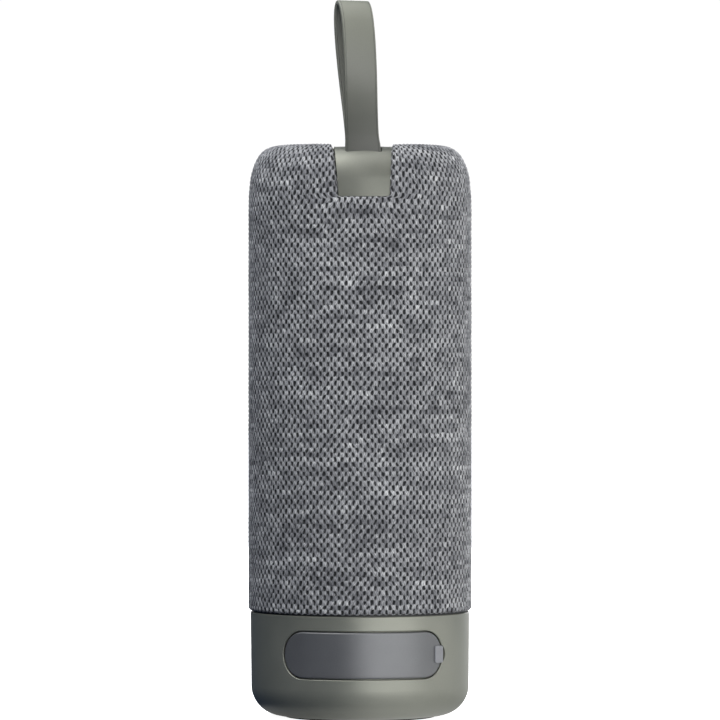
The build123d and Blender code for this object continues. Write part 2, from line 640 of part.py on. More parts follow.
# ======================= drivers ===========================================
for side, zc in DRIVER_Z.items():
    axis = Axis((0, 0, zc), (0, 1, 0))
    level = Plane.XY.offset(zc)

    with BuildPart() as driver_frame:
        with BuildSketch(level):
            Polygon(
                (19.0, -22.5), (23.3, -22.5), (23.3, -21.05), (20.1, -21.05), (20.1, -10.6),
                (12.0, -10.6), (12.0, -12.0), (18.8, -12.0), (18.8, -13.4), (17.2, -13.4),
                (17.2, -14.2), (18.8, -14.2), (18.8, -21.0), (19.0, -21.0), align=None)
        revolve(axis=axis)
        with BuildSketch(Plane.XZ.offset(11.0 - 0.6)):
            with Locations((0, zc)):
                with PolarLocations(15.6, 4, start_angle=45):
                    Circle(2.4)
        extrude(amount=3.0, mode=Mode.SUBTRACT)
        with BuildSketch(Plane.XZ.offset(20.5)):
            with Locations((0, zc)):
                with PolarLocations(22.0, 4, start_angle=45):
                    Circle(0.75)
        extrude(amount=3.0, mode=Mode.SUBTRACT)
    save(driver_frame, "driver_frame_" + side)

    with BuildPart() as top_plate:
        with BuildSketch(level):
            Polygon((6.95, -10.5), (14.0, -10.5), (14.0, -8.5), (6.95, -8.5), align=None)
        revolve(axis=axis)
    save(top_plate, "driver_top_plate_" + side)

    with BuildPart() as magnet:
        with BuildSketch(level):
            Polygon((8.5, -8.5), (15.0, -8.5), (15.0, -3.5), (8.5, -3.5), align=None)
        revolve(axis=axis)
    save(magnet, "driver_magnet_" + side)

    with BuildPart() as yoke:
        with BuildSketch(level):
            Polygon((0, -10.5), (5.9, -10.5), (5.9, -3.5), (14.0, -3.5), (14.0, -1.8), (0, -1.8), align=None)
        revolve(axis=axis)
    save(yoke, "driver_yoke_" + side)

    with BuildPart() as coil:
        with BuildSketch(level):
            Polygon((6.2, -15.6), (6.55, -15.6), (6.55, -6.2), (6.2, -6.2), align=None)
        revolve(axis=axis)
    save(coil, "voice_coil_" + side)

    with BuildPart() as cone:
        with BuildSketch(level):
            with BuildLine():
                Line((16.4, -22.2), (7.4, DOME_Y - sqrt(DOME_R**2 - 7.4**2)))
                ThreePointArc(
                    (7.4, DOME_Y - sqrt(DOME_R**2 - 7.4**2)),
                    (4.0, DOME_Y - sqrt(DOME_R**2 - 4.0**2)),
                    (0, DOME_Y - DOME_R),
                )
                Line((0, DOME_Y - DOME_R), (0, DOME_Y - DOME_R + 0.45))
                ThreePointArc(
                    (0, DOME_Y - DOME_R + 0.45),
                    (4.0, DOME_Y - sqrt((DOME_R - 0.45)**2 - 4.0**2)),
                    (6.6, DOME_Y - sqrt((DOME_R - 0.45)**2 - 6.6**2)),
                )
                Polyline(
                    (6.6, DOME_Y - sqrt((DOME_R - 0.45)**2 - 6.6**2)),
                    (6.6, -15.5), (16.6, -21.4), (17.0, -21.7), (17.0, -22.2), (16.4, -22.2),
                )
            make_face()
        revolve(axis=axis)
    save(cone, "driver_cone_" + side)

    with BuildPart() as surround:
        with BuildSketch(level):
            with BuildLine():
                Line((16.2, -22.25), (17.1, -22.25))
                ThreePointArc((17.1, -22.25), (18.5, -23.65), (19.9, -22.55))
                Polyline((19.9, -22.55), (20.8, -22.55), (20.8, -23.0), (20.35, -23.0))
                ThreePointArc((20.35, -23.0), (18.5, -24.1), (16.7, -22.7))
                Polyline((16.7, -22.7), (16.2, -22.7), (16.2, -22.25))
            make_face()
        revolve(axis=axis)
    save(surround, "driver_surround_" + side)

    with BuildPart() as spider:
        with BuildSketch(level):
            Polygon((6.6, -14.65), (9.0, -15.0), (11.0, -14.3), (13.0, -15.0), (15.0, -14.3), (17.2, -14.7),
                         (18.7, -14.7), (18.7, -14.3), (17.2, -14.3), (15.0, -13.9), (13.0, -14.6), (11.0, -13.9), (9.0, -14.6), (6.6, -14.25), align=None)
        revolve(axis=axis)
    save(spider, "driver_spider_" + side)

with BuildPart() as driver_screws:
    for zc in DRIVER_Z.values():
        with BuildSketch(Plane.XZ.offset(22.5)):
            with Locations((0, zc)):
                with PolarLocations(22.0, 4, start_angle=45):
                    Circle(1.1)
        extrude(amount=0.9)
        with BuildSketch(Plane.XZ.offset(17.5)):
            with Locations((0, zc)):
                with PolarLocations(22.0, 4, start_angle=45):
                    Circle(0.7)
        extrude(amount=5.6)
save(driver_screws, "driver_screws")

# passive radiator, facing +Y
p_axis = Axis((0, 0, PASSIVE_Z), (0, 1, 0))
p_level = Plane.XY.offset(PASSIVE_Z)
with BuildPart() as passive_frame:
    with BuildSketch(p_level):
        Polygon((19.0, 22.5), (23.0, 22.5), (23.0, 21.05), (20.1, 21.05), (20.1, 18.4), (19.0, 18.4), align=None)
    revolve(axis=p_axis)
save(passive_frame, "passive_radiator_frame")

with BuildPart() as passive_plate:
    with BuildSketch(p_level):
        Polygon((0, 18.2), (6.0, 18.2), (6.0, 20.8), (14.0, 20.8), (14.0, 22.1), (0, 22.1), align=None)
    revolve(axis=p_axis)
save(passive_plate, "passive_radiator_plate")

with BuildPart() as passive_surround:
    with BuildSketch(p_level):
        with BuildLine():
            Line((12.6, 22.15), (14.2, 22.15))
            ThreePointArc((14.2, 22.15), (17.0, 24.6), (19.8, 22.55))
            Polyline((19.8, 22.55), (22.4, 22.55), (22.4, 23.05), (20.3, 23.05))
            ThreePointArc((20.3, 23.05), (17.0, 25.1), (13.7, 22.65))
            Polyline((13.7, 22.65), (12.6, 22.65), (12.6, 22.15))
        make_face()
    revolve(axis=p_axis)
save(passive_surround, "passive_radiator_surround")

# ======================= top cap and controls ==============================
BUTTONS = {
    "play_button": (0.0, 0.0, 7.0),
    "volume_up_button": (15.6, -0.5, 5.0),
    "volume_down_button": (-15.6, -0.5, 5.0),
    "power_button": (-9.6, 13.6, 4.4),
    "pairing_button": (9.6, 13.6, 4.4),
}
LIGHTS = [(-4.0, -14.5), (0.0, -14.5), (4.0, -14.5)]

with BuildPart() as tongue:
    with BuildSketch(Plane.XZ):
        with BuildLine():
            outer = shoulder(TONGUE_INSET)
            inner = shoulder(TONGUE_INSET + TONGUE_T)
            Polyline((inner[0][0], 160.0), (outer[0][0], 160.0), (outer[0][0], 165.0))
            Spline(*outer, tangents=[(0, 1), (-1, 0)])
            Polyline(outer[-1], (24.6, CAP_Z), (24.6, CAP_Z - TONGUE_T), inner[-1])
            Spline(*reversed(inner), tangents=[(1, 0), (0, -1)])
            Line((inner[0][0], 165.0), (inner[0][0], 160.0))
        make_face()
    revolve(axis=Axis.Z)
    add(notch_prism(-TONGUE_GAP, y1=-24.3), mode=Mode.INTERSECT)

with BuildPart() as top_cap:
    add(tongue.part)
    with BuildSketch(Plane.XZ):
        Polygon(
            (0, CAP_Z), (CAP_R - 0.3, CAP_Z), (CAP_R, CAP_Z - 0.3), (CAP_R, 182.9), (27.0, 182.9),
            (28.2, 181.9), (28.2, 181.3), (24.4, 181.3), (24.4, CAP_Z - 1.8), (0, CAP_Z - 1.8), align=None)
    revolve(axis=Axis.Z)
    # screw posts
    with BuildSketch(Plane.XY.offset(176.2)):
        with Locations(*CAP_POSTS):
            Circle(2.6)
    extrude(amount=CAP_Z - 1.0 - 176.2)
    with BuildSketch(Plane.XY.offset(CHASSIS_Z1)):
        with Locations(*CAP_POSTS):
            Circle(2.0)
    extrude(amount=176.3 - CHASSIS_Z1)
    # bosses for the strap clamp
    with BuildSketch(Plane.XZ.offset(27.6)):
        with Locations((7.15, 174.6), (-7.15, 174.6)):
            Circle(1.5)
    extrude(amount=6.3)
    # strap slot
    with BuildSketch(Plane.XY.offset(160)):
        with Locations((0, (SLOT_Y0 + SLOT_Y1) / 2)):
            RectangleRounded(2 * SLOT_X, SLOT_Y1 - SLOT_Y0, 0.6)
    extrude(amount=30, mode=Mode.SUBTRACT)
    # button openings and light pipes
    for x, y, r in BUTTONS.values():
        with BuildSketch(Plane.XY.offset(180)):
            with Locations((x, y)):
                Circle(r + BUTTON_GAP)
        extrude(amount=10, mode=Mode.SUBTRACT)
    with BuildSketch(Plane.XY.offset(180)):
        with Locations(*LIGHTS):
            Circle(0.95)
    extrude(amount=10, mode=Mode.SUBTRACT)
    with BuildSketch(Plane.XY.offset(CHASSIS_Z1 - 1)):
        with Locations(*CAP_POSTS):
            Circle(1.0)
    extrude(amount=10, mode=Mode.SUBTRACT)
    with BuildSketch(Plane.XZ.offset(26.3)):
        with Locations((7.15, 174.6), (-7.15, 174.6)):
            Circle(0.8)
    extrude(amount=4.8, mode=Mode.SUBTRACT)
save(top_cap, "top_cap")

for name, (x, y, r) in BUTTONS.items():
    with BuildPart() as button:
        with BuildSketch(Plane.XY.offset(182.4)):
            with Locations((x, y)):
                Circle(r + 0.8)
        extrude(amount=0.8)
        with BuildSketch(Plane.XY.offset(183.1)):
            with Locations((x, y)):
                Circle(r)
        extrude(amount=BUTTON_TOP - 183.1)
        fillet(button.edges().group_by(Axis.Z)[-1], 0.5)
    save(button, name)

with BuildPart() as keypad_membrane:
    with BuildSketch(Plane.XY.offset(180.6)):
        Circle(23.6)
        with Locations(*CAP_POSTS):
            Circle(2.8, mode=Mode.SUBTRACT)
        with Locations(*LIGHTS):
            Circle(1.1, mode=Mode.SUBTRACT)
    extrude(amount=0.5)
    with BuildSketch(Plane.XY.offset(181.0)):
        for x, y, r in BUTTONS.values():
            with Locations((x, y)):
                Circle(r - 1.5)
    extrude(amount=0.6)
save(keypad_membrane, "keypad_membrane")

with BuildPart() as control_board:
    with BuildSketch(Plane.XY.offset(174.6)):
        Circle(24.0)
        with Locations(*CAP_POSTS):
            Circle(2.1, mode=Mode.SUBTRACT)
    extrude(amount=1.6)
save(control_board, "control_board")

with BuildPart() as tact_switches:
    for x, y, r in BUTTONS.values():
        with BuildSketch(Plane.XY.offset(176.2)):
            with Locations((x, y)):
                Rectangle(6.0, 6.0)
        extrude(amount=3.3)
        with BuildSketch(Plane.XY.offset(179.4)):
            with Locations((x, y)):
                Circle(1.7)
        extrude(amount=1.1)
save(tact_switches, "tact_switches")

with BuildPart() as light_pipes:
    with BuildSketch(Plane.XY.offset(176.4)):
        with Locations(*LIGHTS):
            Circle(0.9)
    extrude(amount=CAP_Z - 176.4)
save(light_pipes, "light_pipes")

with BuildPart() as cap_screws:
    with BuildSketch(Plane.XY.offset(164.6)):
        with Locations(*CAP_POSTS):
            Circle(2.2)
    extrude(amount=1.7)
    with BuildSketch(Plane.XY.offset(166.2)):
        with Locations(*CAP_POSTS):
            Circle(0.95)
    extrude(amount=10.8)
    with BuildSketch(Plane.XY.offset(164.6)):
        with Locations(*CAP_POSTS):
            RegularPolygon(1.0, 6)
    extrude(amount=0.9, mode=Mode.SUBTRACT)
save(cap_screws, "cap_screws")

# ======================= strap =============================================
# Centreline of the loop in side view: offset from the slot's middle, height.
LOOP = [
    (-0.85, 184.0), (-1.0, 188.5), (-1.75, 193.0), (-2.95, 198.0), (-4.05, 203.0), (-4.75, 208.0),
    (-5.0, 213.0), (-4.95, 218.0), (-4.5, 223.0), (-3.6, 227.4), (-2.3, 230.3), (-0.8, 231.7),
]
LOOP = LOOP + [(-o, z) for o, z in reversed(LOOP)]


def loop_section(i):
    """The band's cross-section at one point of the loop: a rectangle across
    the path, turned and drifted sideways with height."""
    o, z = LOOP[i]
    a = LOOP[max(i - 1, 0)]
    b = LOOP[min(i + 1, len(LOOP) - 1)]
    t = Vector(0, b[0] - a[0], b[1] - a[1]).normalized()
    if i in (0, len(LOOP) - 1):
        t = Vector(0, 0, 1 if i == 0 else -1)
    twist = STRAP_TWIST * max(z - STRAP_Z_FROM, 0)
    drift = STRAP_LEAN * max(z - STRAP_Z_FROM, 0)
    c = Vector(0, o, 0).rotate(Axis.Z, twist) + Vector(STRAP_X + drift, STRAP_Y, z)
    x = Vector(1, 0, 0).rotate(Axis.Z, twist)
    t = t.rotate(Axis.Z, twist)
    return Plane(origin=c, x_dir=x, z_dir=t)


with BuildPart() as strap_loop:
    for i in range(len(LOOP)):
        with BuildSketch(loop_section(i)):
            Rectangle(STRAP_W, STRAP_T)
    loft(ruled=True)
    with Locations(Plane(origin=(0, STRAP_Y, STRAP_AXIS_Z), z_dir=(1, 0, 0))):
        Cylinder(2.5, 40, mode=Mode.SUBTRACT)
    with Locations((0, STRAP_Y, STRAP_AXIS_Z - 10)):
        Box(40, 20, 20, mode=Mode.SUBTRACT)
save(strap_loop, "strap_loop")

with BuildPart() as strap_tails:
    with Locations((STRAP_X, STRAP_Y - 0.85, 179.5), (STRAP_X, STRAP_Y + 0.85, 179.5)):
        Box(STRAP_W, STRAP_T, 18.0)
    with BuildSketch(Plane.YZ.offset(-20)):
        with Locations((STRAP_Y, STRAP_AXIS_Z)):
            Circle(1.85)
        with Locations((STRAP_Y, STRAP_AXIS_Z - 10)):
            Rectangle(3.7, 20.0)
    extrude(amount=40, mode=Mode.INTERSECT)
save(strap_tails, "strap_tails")

with BuildPart() as strap_clamp:
    with BuildSketch(Plane.XZ.offset(26.4)):
        with Locations((0, 174.6)):
            RectangleRounded(17.6, 6.0, 1.2)
            with Locations((7.15, 0), (-7.15, 0)):
                Circle(1.0, mode=Mode.SUBTRACT)
    extrude(amount=1.15)
save(strap_clamp, "strap_clamp")

with BuildPart() as clamp_screws:
    with BuildSketch(Plane.XZ.offset(25.4)):
        with Locations((7.15, 174.6), (-7.15, 174.6)):
            Circle(1.5)
    extrude(amount=1.0)
    with BuildSketch(Plane.XZ.offset(26.3)):
        with Locations((7.15, 174.6), (-7.15, 174.6)):
            Circle(0.78)
    extrude(amount=4.6)
save(clamp_screws, "clamp_screws")
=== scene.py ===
import json
import math

import bmesh
import bpy
import numpy as np
from mathutils import Matrix, Vector

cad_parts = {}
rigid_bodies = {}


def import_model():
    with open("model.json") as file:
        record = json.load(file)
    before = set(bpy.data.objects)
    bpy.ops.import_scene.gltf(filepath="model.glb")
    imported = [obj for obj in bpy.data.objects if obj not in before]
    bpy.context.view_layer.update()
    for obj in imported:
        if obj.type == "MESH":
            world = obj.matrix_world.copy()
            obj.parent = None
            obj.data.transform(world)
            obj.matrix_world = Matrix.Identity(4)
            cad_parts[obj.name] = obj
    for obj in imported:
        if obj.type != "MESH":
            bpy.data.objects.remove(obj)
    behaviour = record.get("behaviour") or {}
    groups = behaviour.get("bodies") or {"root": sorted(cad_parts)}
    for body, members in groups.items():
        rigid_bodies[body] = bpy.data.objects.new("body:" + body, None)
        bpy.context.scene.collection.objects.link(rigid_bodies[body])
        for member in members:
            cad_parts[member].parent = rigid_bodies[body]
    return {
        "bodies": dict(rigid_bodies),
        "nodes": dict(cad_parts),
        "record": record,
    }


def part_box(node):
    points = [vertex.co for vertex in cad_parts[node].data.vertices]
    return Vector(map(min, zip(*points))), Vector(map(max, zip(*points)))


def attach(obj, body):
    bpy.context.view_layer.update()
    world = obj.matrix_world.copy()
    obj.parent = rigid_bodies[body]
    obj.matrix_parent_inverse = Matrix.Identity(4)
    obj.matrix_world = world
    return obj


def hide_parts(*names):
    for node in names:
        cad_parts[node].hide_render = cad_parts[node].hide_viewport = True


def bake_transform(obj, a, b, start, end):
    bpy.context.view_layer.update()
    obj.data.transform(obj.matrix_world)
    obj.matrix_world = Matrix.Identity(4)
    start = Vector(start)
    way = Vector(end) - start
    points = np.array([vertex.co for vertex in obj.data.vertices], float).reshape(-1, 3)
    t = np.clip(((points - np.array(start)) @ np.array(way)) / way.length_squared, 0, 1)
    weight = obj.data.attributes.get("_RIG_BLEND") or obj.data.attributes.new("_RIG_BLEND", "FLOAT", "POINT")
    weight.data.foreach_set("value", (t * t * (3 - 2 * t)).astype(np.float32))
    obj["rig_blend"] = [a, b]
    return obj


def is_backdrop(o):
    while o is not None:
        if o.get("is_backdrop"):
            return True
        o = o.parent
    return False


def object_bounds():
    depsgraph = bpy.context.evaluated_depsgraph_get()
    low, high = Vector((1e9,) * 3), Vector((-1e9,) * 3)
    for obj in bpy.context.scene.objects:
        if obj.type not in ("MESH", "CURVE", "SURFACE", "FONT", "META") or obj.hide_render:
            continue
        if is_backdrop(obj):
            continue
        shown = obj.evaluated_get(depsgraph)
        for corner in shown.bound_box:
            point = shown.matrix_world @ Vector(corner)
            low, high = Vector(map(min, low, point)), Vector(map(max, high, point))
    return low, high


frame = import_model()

nodes = frame["nodes"]
bodies = frame["bodies"]
scene = bpy.context.scene
MM = 0.001


def plain(value):
    if isinstance(value, dict):
        return {k: plain(v) for k, v in value.items()}
    if hasattr(value, "__len__") and not isinstance(value, str):
        return [plain(v) for v in value]
    return float(value)


size_at_load = plain(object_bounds())

# ---------------------------------------------------------------- helpers


def mesh_object(name, co, quads, tris=None, loop_uv=None, uv_name="UVMap", smooth=True):
    """A mesh from vertex positions in mm and arrays of quads and triangles."""
    co = np.asarray(co, np.float32) * MM
    quads = np.asarray(quads, np.int32).reshape(-1, 4)
    tris = np.zeros((0, 3), np.int32) if tris is None else np.asarray(tris, np.int32).reshape(-1, 3)
    loops = np.concatenate([quads.ravel(), tris.ravel()])
    starts = np.concatenate(
        [np.arange(len(quads)) * 4, len(quads) * 4 + np.arange(len(tris)) * 3]
    ).astype(np.int32)
    me = bpy.data.meshes.new(name)
    me.vertices.add(len(co))
    me.vertices.foreach_set("co", co.ravel())
    me.loops.add(len(loops))
    me.loops.foreach_set("vertex_index", loops)
    me.polygons.add(len(starts))
    me.polygons.foreach_set("loop_start", starts)
    me.update(calc_edges=True)
    if loop_uv is not None:
        layer = me.uv_layers.new(name=uv_name)
        layer.data.foreach_set("uv", np.asarray(loop_uv, np.float32).ravel())
    me.validate()
    me.polygons.foreach_set("use_smooth", np.full(len(me.polygons), smooth))
    o = bpy.data.objects.new(name, me)
    scene.collection.objects.link(o)
    return o


def grid_quads(rows, cols, wrap_cols=False, wrap_rows=False, keep=None):
    """Quads of a rows x cols grid of vertices, numbered row by row."""
    r = np.arange(rows if wrap_rows else rows - 1)
    c = np.arange(cols if wrap_cols else cols - 1)
    rr, cc = np.meshgrid(r, c, indexing="ij")
    r1, c1 = (rr + 1) % rows, (cc + 1) % cols
    q = np.stack([rr * cols + cc, rr * cols + c1, r1 * cols + c1, r1 * cols + cc], -1)
    q = q.reshape(-1, 4)
    return q if keep is None else q[keep(rr, cc).ravel()]


def smooth_line(points, per=12):
    """A centripetal Catmull-Rom line through points, each span cut in per steps."""
    p = np.asarray(points, float)
    p = np.vstack([2 * p[0] - p[1], p, 2 * p[-1] - p[-2]])
    out = []
    for i in range(1, len(p) - 2):
        a, b, c, d = p[i - 1], p[i], p[i + 1], p[i + 2]
        t0 = 0.0
        t1 = t0 + np.linalg.norm(b - a) ** 0.5
        t2 = t1 + np.linalg.norm(c - b) ** 0.5
        t3 = t2 + np.linalg.norm(d - c) ** 0.5
        t = np.linspace(t1, t2, per, endpoint=False)[:, None]
        a1 = (t1 - t) / (t1 - t0) * a + (t - t0) / (t1 - t0) * b
        a2 = (t2 - t) / (t2 - t1) * b + (t - t1) / (t2 - t1) * c
        a3 = (t3 - t) / (t3 - t2) * c + (t - t2) / (t3 - t2) * d
        b1 = (t2 - t) / (t2 - t0) * a1 + (t - t0) / (t2 - t0) * a2
        b2 = (t3 - t) / (t3 - t1) * a2 + (t - t1) / (t3 - t1) * a3
        out.append((t2 - t) / (t2 - t1) * b1 + (t - t1) / (t2 - t1) * b2)
    out.append(p[-2][None])
    return np.vstack(out)


def even(line, step):
    """The same line with points at an even spacing near step; returns points and their distances along it."""
    d = np.concatenate([[0], np.cumsum(np.linalg.norm(np.diff(line, axis=0), axis=1))])
    n = max(2, int(round(d[-1] / step)) + 1)
    s = np.linspace(0, d[-1], n)
    return np.stack([np.interp(s, d, line[:, k]) for k in range(line.shape[1])], -1), s


def smoothstep(a, b, x):
    t = np.clip((np.asarray(x, float) - a) / (b - a), 0, 1)
    return t * t * (3 - 2 * t)


def unit(v):
    return v / np.maximum(np.linalg.norm(v, axis=-1, keepdims=True), 1e-12)


# -------------------------------------------------------------- materials


def lin(r, g, b):
    """Linear colour from 8-bit display values."""
    out = []
    for c in (r, g, b):
        c = c / 255
        out.append(c / 12.92 if c <= 0.04045 else ((c + 0.055) / 1.055) ** 2.4)
    return (*out, 1.0)


class Tree:
    def __init__(self, name):
        self.mat = bpy.data.materials.new(name)
        self.mat.use_nodes = True
        self.nt = self.mat.node_tree
        self.nt.nodes.clear()
        self.out = self.nt.nodes.new("ShaderNodeOutputMaterial")

    def add(self, kind, ins=None, **props):
        n = self.nt.nodes.new(kind)
        for k, v in props.items():
            setattr(n, k, v)
        for k, v in (ins or {}).items():
            self.put(n.inputs[k], v)
        return n

    def put(self, socket, v):
        if isinstance(v, bpy.types.NodeSocket):
            self.nt.links.new(v, socket)
        else:
            socket.default_value = v

    def math(self, op, a, b=None, c=None, clamp=False):
        n = self.add("ShaderNodeMath", operation=op, use_clamp=clamp)
        for i, v in enumerate((a, b, c)):
            if v is not None:
                self.put(n.inputs[i], v)
        return n.outputs[0]

    def ramp(self, fac, stops, interpolation="LINEAR"):
        n = self.add("ShaderNodeValToRGB", {"Fac": fac})
        r = n.color_ramp
        r.interpolation = interpolation
        while len(r.elements) < len(stops):
            r.elements.new(0.5)
        for e, (pos, color) in zip(r.elements, stops):
            e.position = pos
            e.color = color if hasattr(color, "__len__") else (color, color, color, 1)
        return n.outputs["Color"]

    def remap(self, value, a, b, c, d, smooth=True):
        n = self.add(
            "ShaderNodeMapRange",
            {"Value": value, "From Min": a, "From Max": b, "To Min": c, "To Max": d},
            interpolation_type="SMOOTHSTEP" if smooth else "LINEAR",
        )
        return n.outputs["Result"]

    def noise(self, vector, scale, detail=2.0, rough=0.5, lac=2.0):
        n = self.add(
            "ShaderNodeTexNoise",
            {"Vector": vector, "Scale": scale, "Detail": detail, "Roughness": rough, "Lacunarity": lac},
        )
        return n.outputs["Fac"]

    def mix(self, fac, a, b, blend="MIX"):
        n = self.add("ShaderNodeMix", data_type="RGBA", blend_type=blend, clamp_factor=True)
        self.put(n.inputs[0], fac)
        self.put(n.inputs[6], a)
        self.put(n.inputs[7], b)
        return n.outputs[2]

    def bump(self, height, distance, strength=1.0, normal=None):
        n = self.add("ShaderNodeBump", {"Height": height, "Distance": distance, "Strength": strength})
        if normal is not None:
            self.put(n.inputs["Normal"], normal)
        return n.outputs["Normal"]

    def place(self):
        return self.add("ShaderNodeTexCoord").outputs["Object"]

    def finish(self, **sockets):
        b = self.add("ShaderNodeBsdfPrincipled")
        for k, v in sockets.items():
            self.put(b.inputs[k.replace("_", " ")], v)
        self.nt.links.new(b.outputs[0], self.out.inputs["Surface"])
        return self.mat


def moulded(name, dark, light, rough=(0.4, 0.5), metallic=0.0, mottle=60.0, grain=1800.0, bump=0.000012, edge=0.0, **extra):
    """Moulded or painted surface: slow mottling, fine grain and slightly uneven gloss."""
    t = Tree(name)
    p = t.place()
    slow = t.noise(p, mottle, 3.0, 0.55)
    fine = t.noise(p, grain, 2.0, 0.6)
    both = t.math("ADD", t.math("MULTIPLY", slow, 0.7), t.math("MULTIPLY", fine, 0.3))
    col = t.ramp(both, [(0.34, lin(*dark)), (0.66, lin(*light))])
    r = t.remap(t.math("ADD", t.math("MULTIPLY", slow, 0.5), t.math("MULTIPLY", fine, 0.5)), 0.35, 0.65, rough[0], rough[1])
    nrm = t.bump(fine, bump)
    return t.finish(**{"Base_Color": col, "Roughness": r, "Metallic": metallic, "Normal": nrm, **extra})


def mat_knit():
    """Melange knit: tall openings in a staggered lattice, painted near black as painted shade; the low ground between
    the strands painted darker as painted shade, so a light strand shows each side of every opening; streaky dye along
    the rows.
    """
    t = Tree("knit")
    uv = t.add("ShaderNodeUVMap", uv_map="KnitUV").outputs["UV"]
    sep = t.add("ShaderNodeSeparateXYZ", {"Vector": uv})
    p = t.place()

    def shifted(v):
        return t.add("ShaderNodeVectorMath", {0: p, 1: v}, operation="ADD").outputs[0]

    def scaled(v):
        return t.add("ShaderNodeVectorMath", {0: p, 1: v}, operation="MULTIPLY").outputs[0]

    def centred(v, k):
        return t.math("MULTIPLY", t.math("SUBTRACT", v, 0.5), k)

    a = t.math("ADD", t.math("MULTIPLY", sep.outputs["X"], 96.0), centred(t.noise(p, 520.0, 1.0), 0.42))
    b = t.math("ADD", t.math("MULTIPLY", sep.outputs["Y"], 128.0), centred(t.noise(shifted((0.37, 0.11, 0.23)), 460.0, 1.0), 0.8))
    ca = t.math("COSINE", t.math("MULTIPLY", a, 2 * math.pi))
    cb = t.math("COSINE", t.math("MULTIPLY", b, math.pi))
    f = t.math("MULTIPLY", ca, cb)
    # each opening: narrow, as tall as its row, leaning a little one way or the other
    r0 = t.math("FLOOR", t.math("ADD", b, 0.5))
    db = t.math("SUBTRACT", b, r0)
    lean = t.math("MULTIPLY", db, centred(t.noise(p, 210.0, 1.0), 0.9))
    half = t.math("MULTIPLY", t.math("PINGPONG", r0, 1.0), 0.5)
    da = t.math("SUBTRACT", t.math("FRACT", t.math("ADD", t.math("ADD", t.math("ADD", a, lean), half), 0.5)), 0.5)
    size = t.remap(t.noise(p, 330.0, 1.0), 0.3, 0.7, 0.75, 1.25, smooth=False)
    ea = t.math("DIVIDE", da, t.math("MULTIPLY", size, 0.175))
    hem = t.remap(b, 25.0, 24.3, 0.0, 1.0)
    eb = t.math("DIVIDE", db, t.math("ADD", t.math("MULTIPLY", hem, 0.9), 0.80))
    e2 = t.math("ADD", t.math("MULTIPLY", ea, ea), t.math("MULTIPLY", eb, eb))
    # painted shade: the openings are painted near black for the shade inside them
    hole_painted_shade = t.remap(e2, 1.15, 0.25, 0.0, 1.0)
    yarn = t.remap(f, 0.45, -0.95, 0.0, 1.0)
    # dye: long streaks along the yarn of one row, short flecks, broad drift
    row = r0
    sp = t.add("ShaderNodeSeparateXYZ", {"Vector": p})

    def along(k, seed):
        return t.add(
            "ShaderNodeCombineXYZ",
            {"X": t.math("MULTIPLY", sp.outputs["X"], k), "Y": t.math("MULTIPLY", sp.outputs["Y"], k), "Z": t.math("MULTIPLY", row, seed)},
        ).outputs[0]

    streak = t.noise(along(150.0, 0.83), 1.0, 3.0, 0.62)
    fleck = t.noise(scaled((900.0, 900.0, 700.0)), 1.0, 1.0, 0.5)
    wide = t.noise(scaled((45.0, 45.0, 260.0)), 1.0, 3.0, 0.55)
    mel = t.math("ADD", t.math("ADD", t.math("MULTIPLY", streak, 0.50), t.math("MULTIPLY", fleck, 0.20)), t.math("MULTIPLY", wide, 0.30))
    mel = t.remap(mel, 0.34, 0.66, 0.0, 1.0, smooth=False)
    fibre = t.noise(scaled((1.0, 1.0, 0.5)), 4600.0, 2.0, 0.6)
    shade = t.math("ADD", mel, centred(fibre, 0.35))
    base = t.ramp(shade, [(0.0, lin(78, 79, 83)), (0.35, lin(132, 133, 137)), (0.68, lin(171, 172, 175)), (1.0, lin(214, 215, 217))])
    # plies of the yarn, a chevron on each loop
    ply = t.math("SINE", t.math("MULTIPLY", t.math("ADD", t.math("MULTIPLY", t.math("ABSOLUTE", da), 4.0), t.math("MULTIPLY", db, 0.5)), 2 * math.pi))
    base = t.mix(t.remap(ply, 0.0, -1.0, 0.0, 0.60), base, lin(52, 53, 57))
    # painted shade: the low ground of the relief between the strands is painted darker
    valleys_painted_shade = t.mix(t.math("MULTIPLY", t.math("SUBTRACT", 1.0, yarn), 0.50), base, lin(40, 41, 45))
    # painted shade: near black where the openings are
    col = t.mix(t.math("MULTIPLY", hole_painted_shade, 0.95), valleys_painted_shade, lin(13, 14, 16))
    height = t.math("ADD", t.math("ADD", t.math("MULTIPLY", yarn, 0.8), t.math("MULTIPLY", fibre, 0.2)), t.math("MULTIPLY", ply, 0.08))
    nrm = t.bump(height, 0.00012, 0.7)
    return t.finish(Base_Color=col, Roughness=0.85, Normal=nrm, Sheen_Weight=0.06, Sheen_Roughness=0.5, Specular_IOR_Level=0.2)


def mat_weave(name, dark, light, pitch=0.0011, rough=0.8):
    """Plain woven cloth, seen on the spiders."""
    t = Tree(name)
    p = t.place()
    sp = t.add("ShaderNodeSeparateXYZ", {"Vector": p})
    k = 2 * math.pi / pitch
    wx = t.math("SINE", t.math("MULTIPLY", sp.outputs["X"], k))
    wz = t.math("SINE", t.math("MULTIPLY", sp.outputs["Z"], k))
    w = t.math("MULTIPLY", wx, wz)
    n = t.noise(p, 900.0, 2.0)
    fac = t.math("ADD", t.math("MULTIPLY", w, 0.35), n)
    col = t.ramp(fac, [(0.2, lin(*dark)), (0.8, lin(*light))])
    return t.finish(Base_Color=col, Roughness=rough, Normal=t.bump(fac, 0.00008))


def mat_paper(name, dark, light):
    """Pressed paper pulp with short fibres."""
    t = Tree(name)
    p = t.place()
    fib = t.noise(p, 1300.0, 4.0, 0.7)
    slow = t.noise(p, 150.0, 2.0)
    fac = t.math("ADD", t.math("MULTIPLY", fib, 0.7), t.math("MULTIPLY", slow, 0.3))
    col = t.ramp(fac, [(0.3, lin(*dark)), (0.7, lin(*light))])
    return t.finish(Base_Color=col, Roughness=t.remap(fib, 0.3, 0.7, 0.62, 0.8), Normal=t.bump(fib, 0.00005))


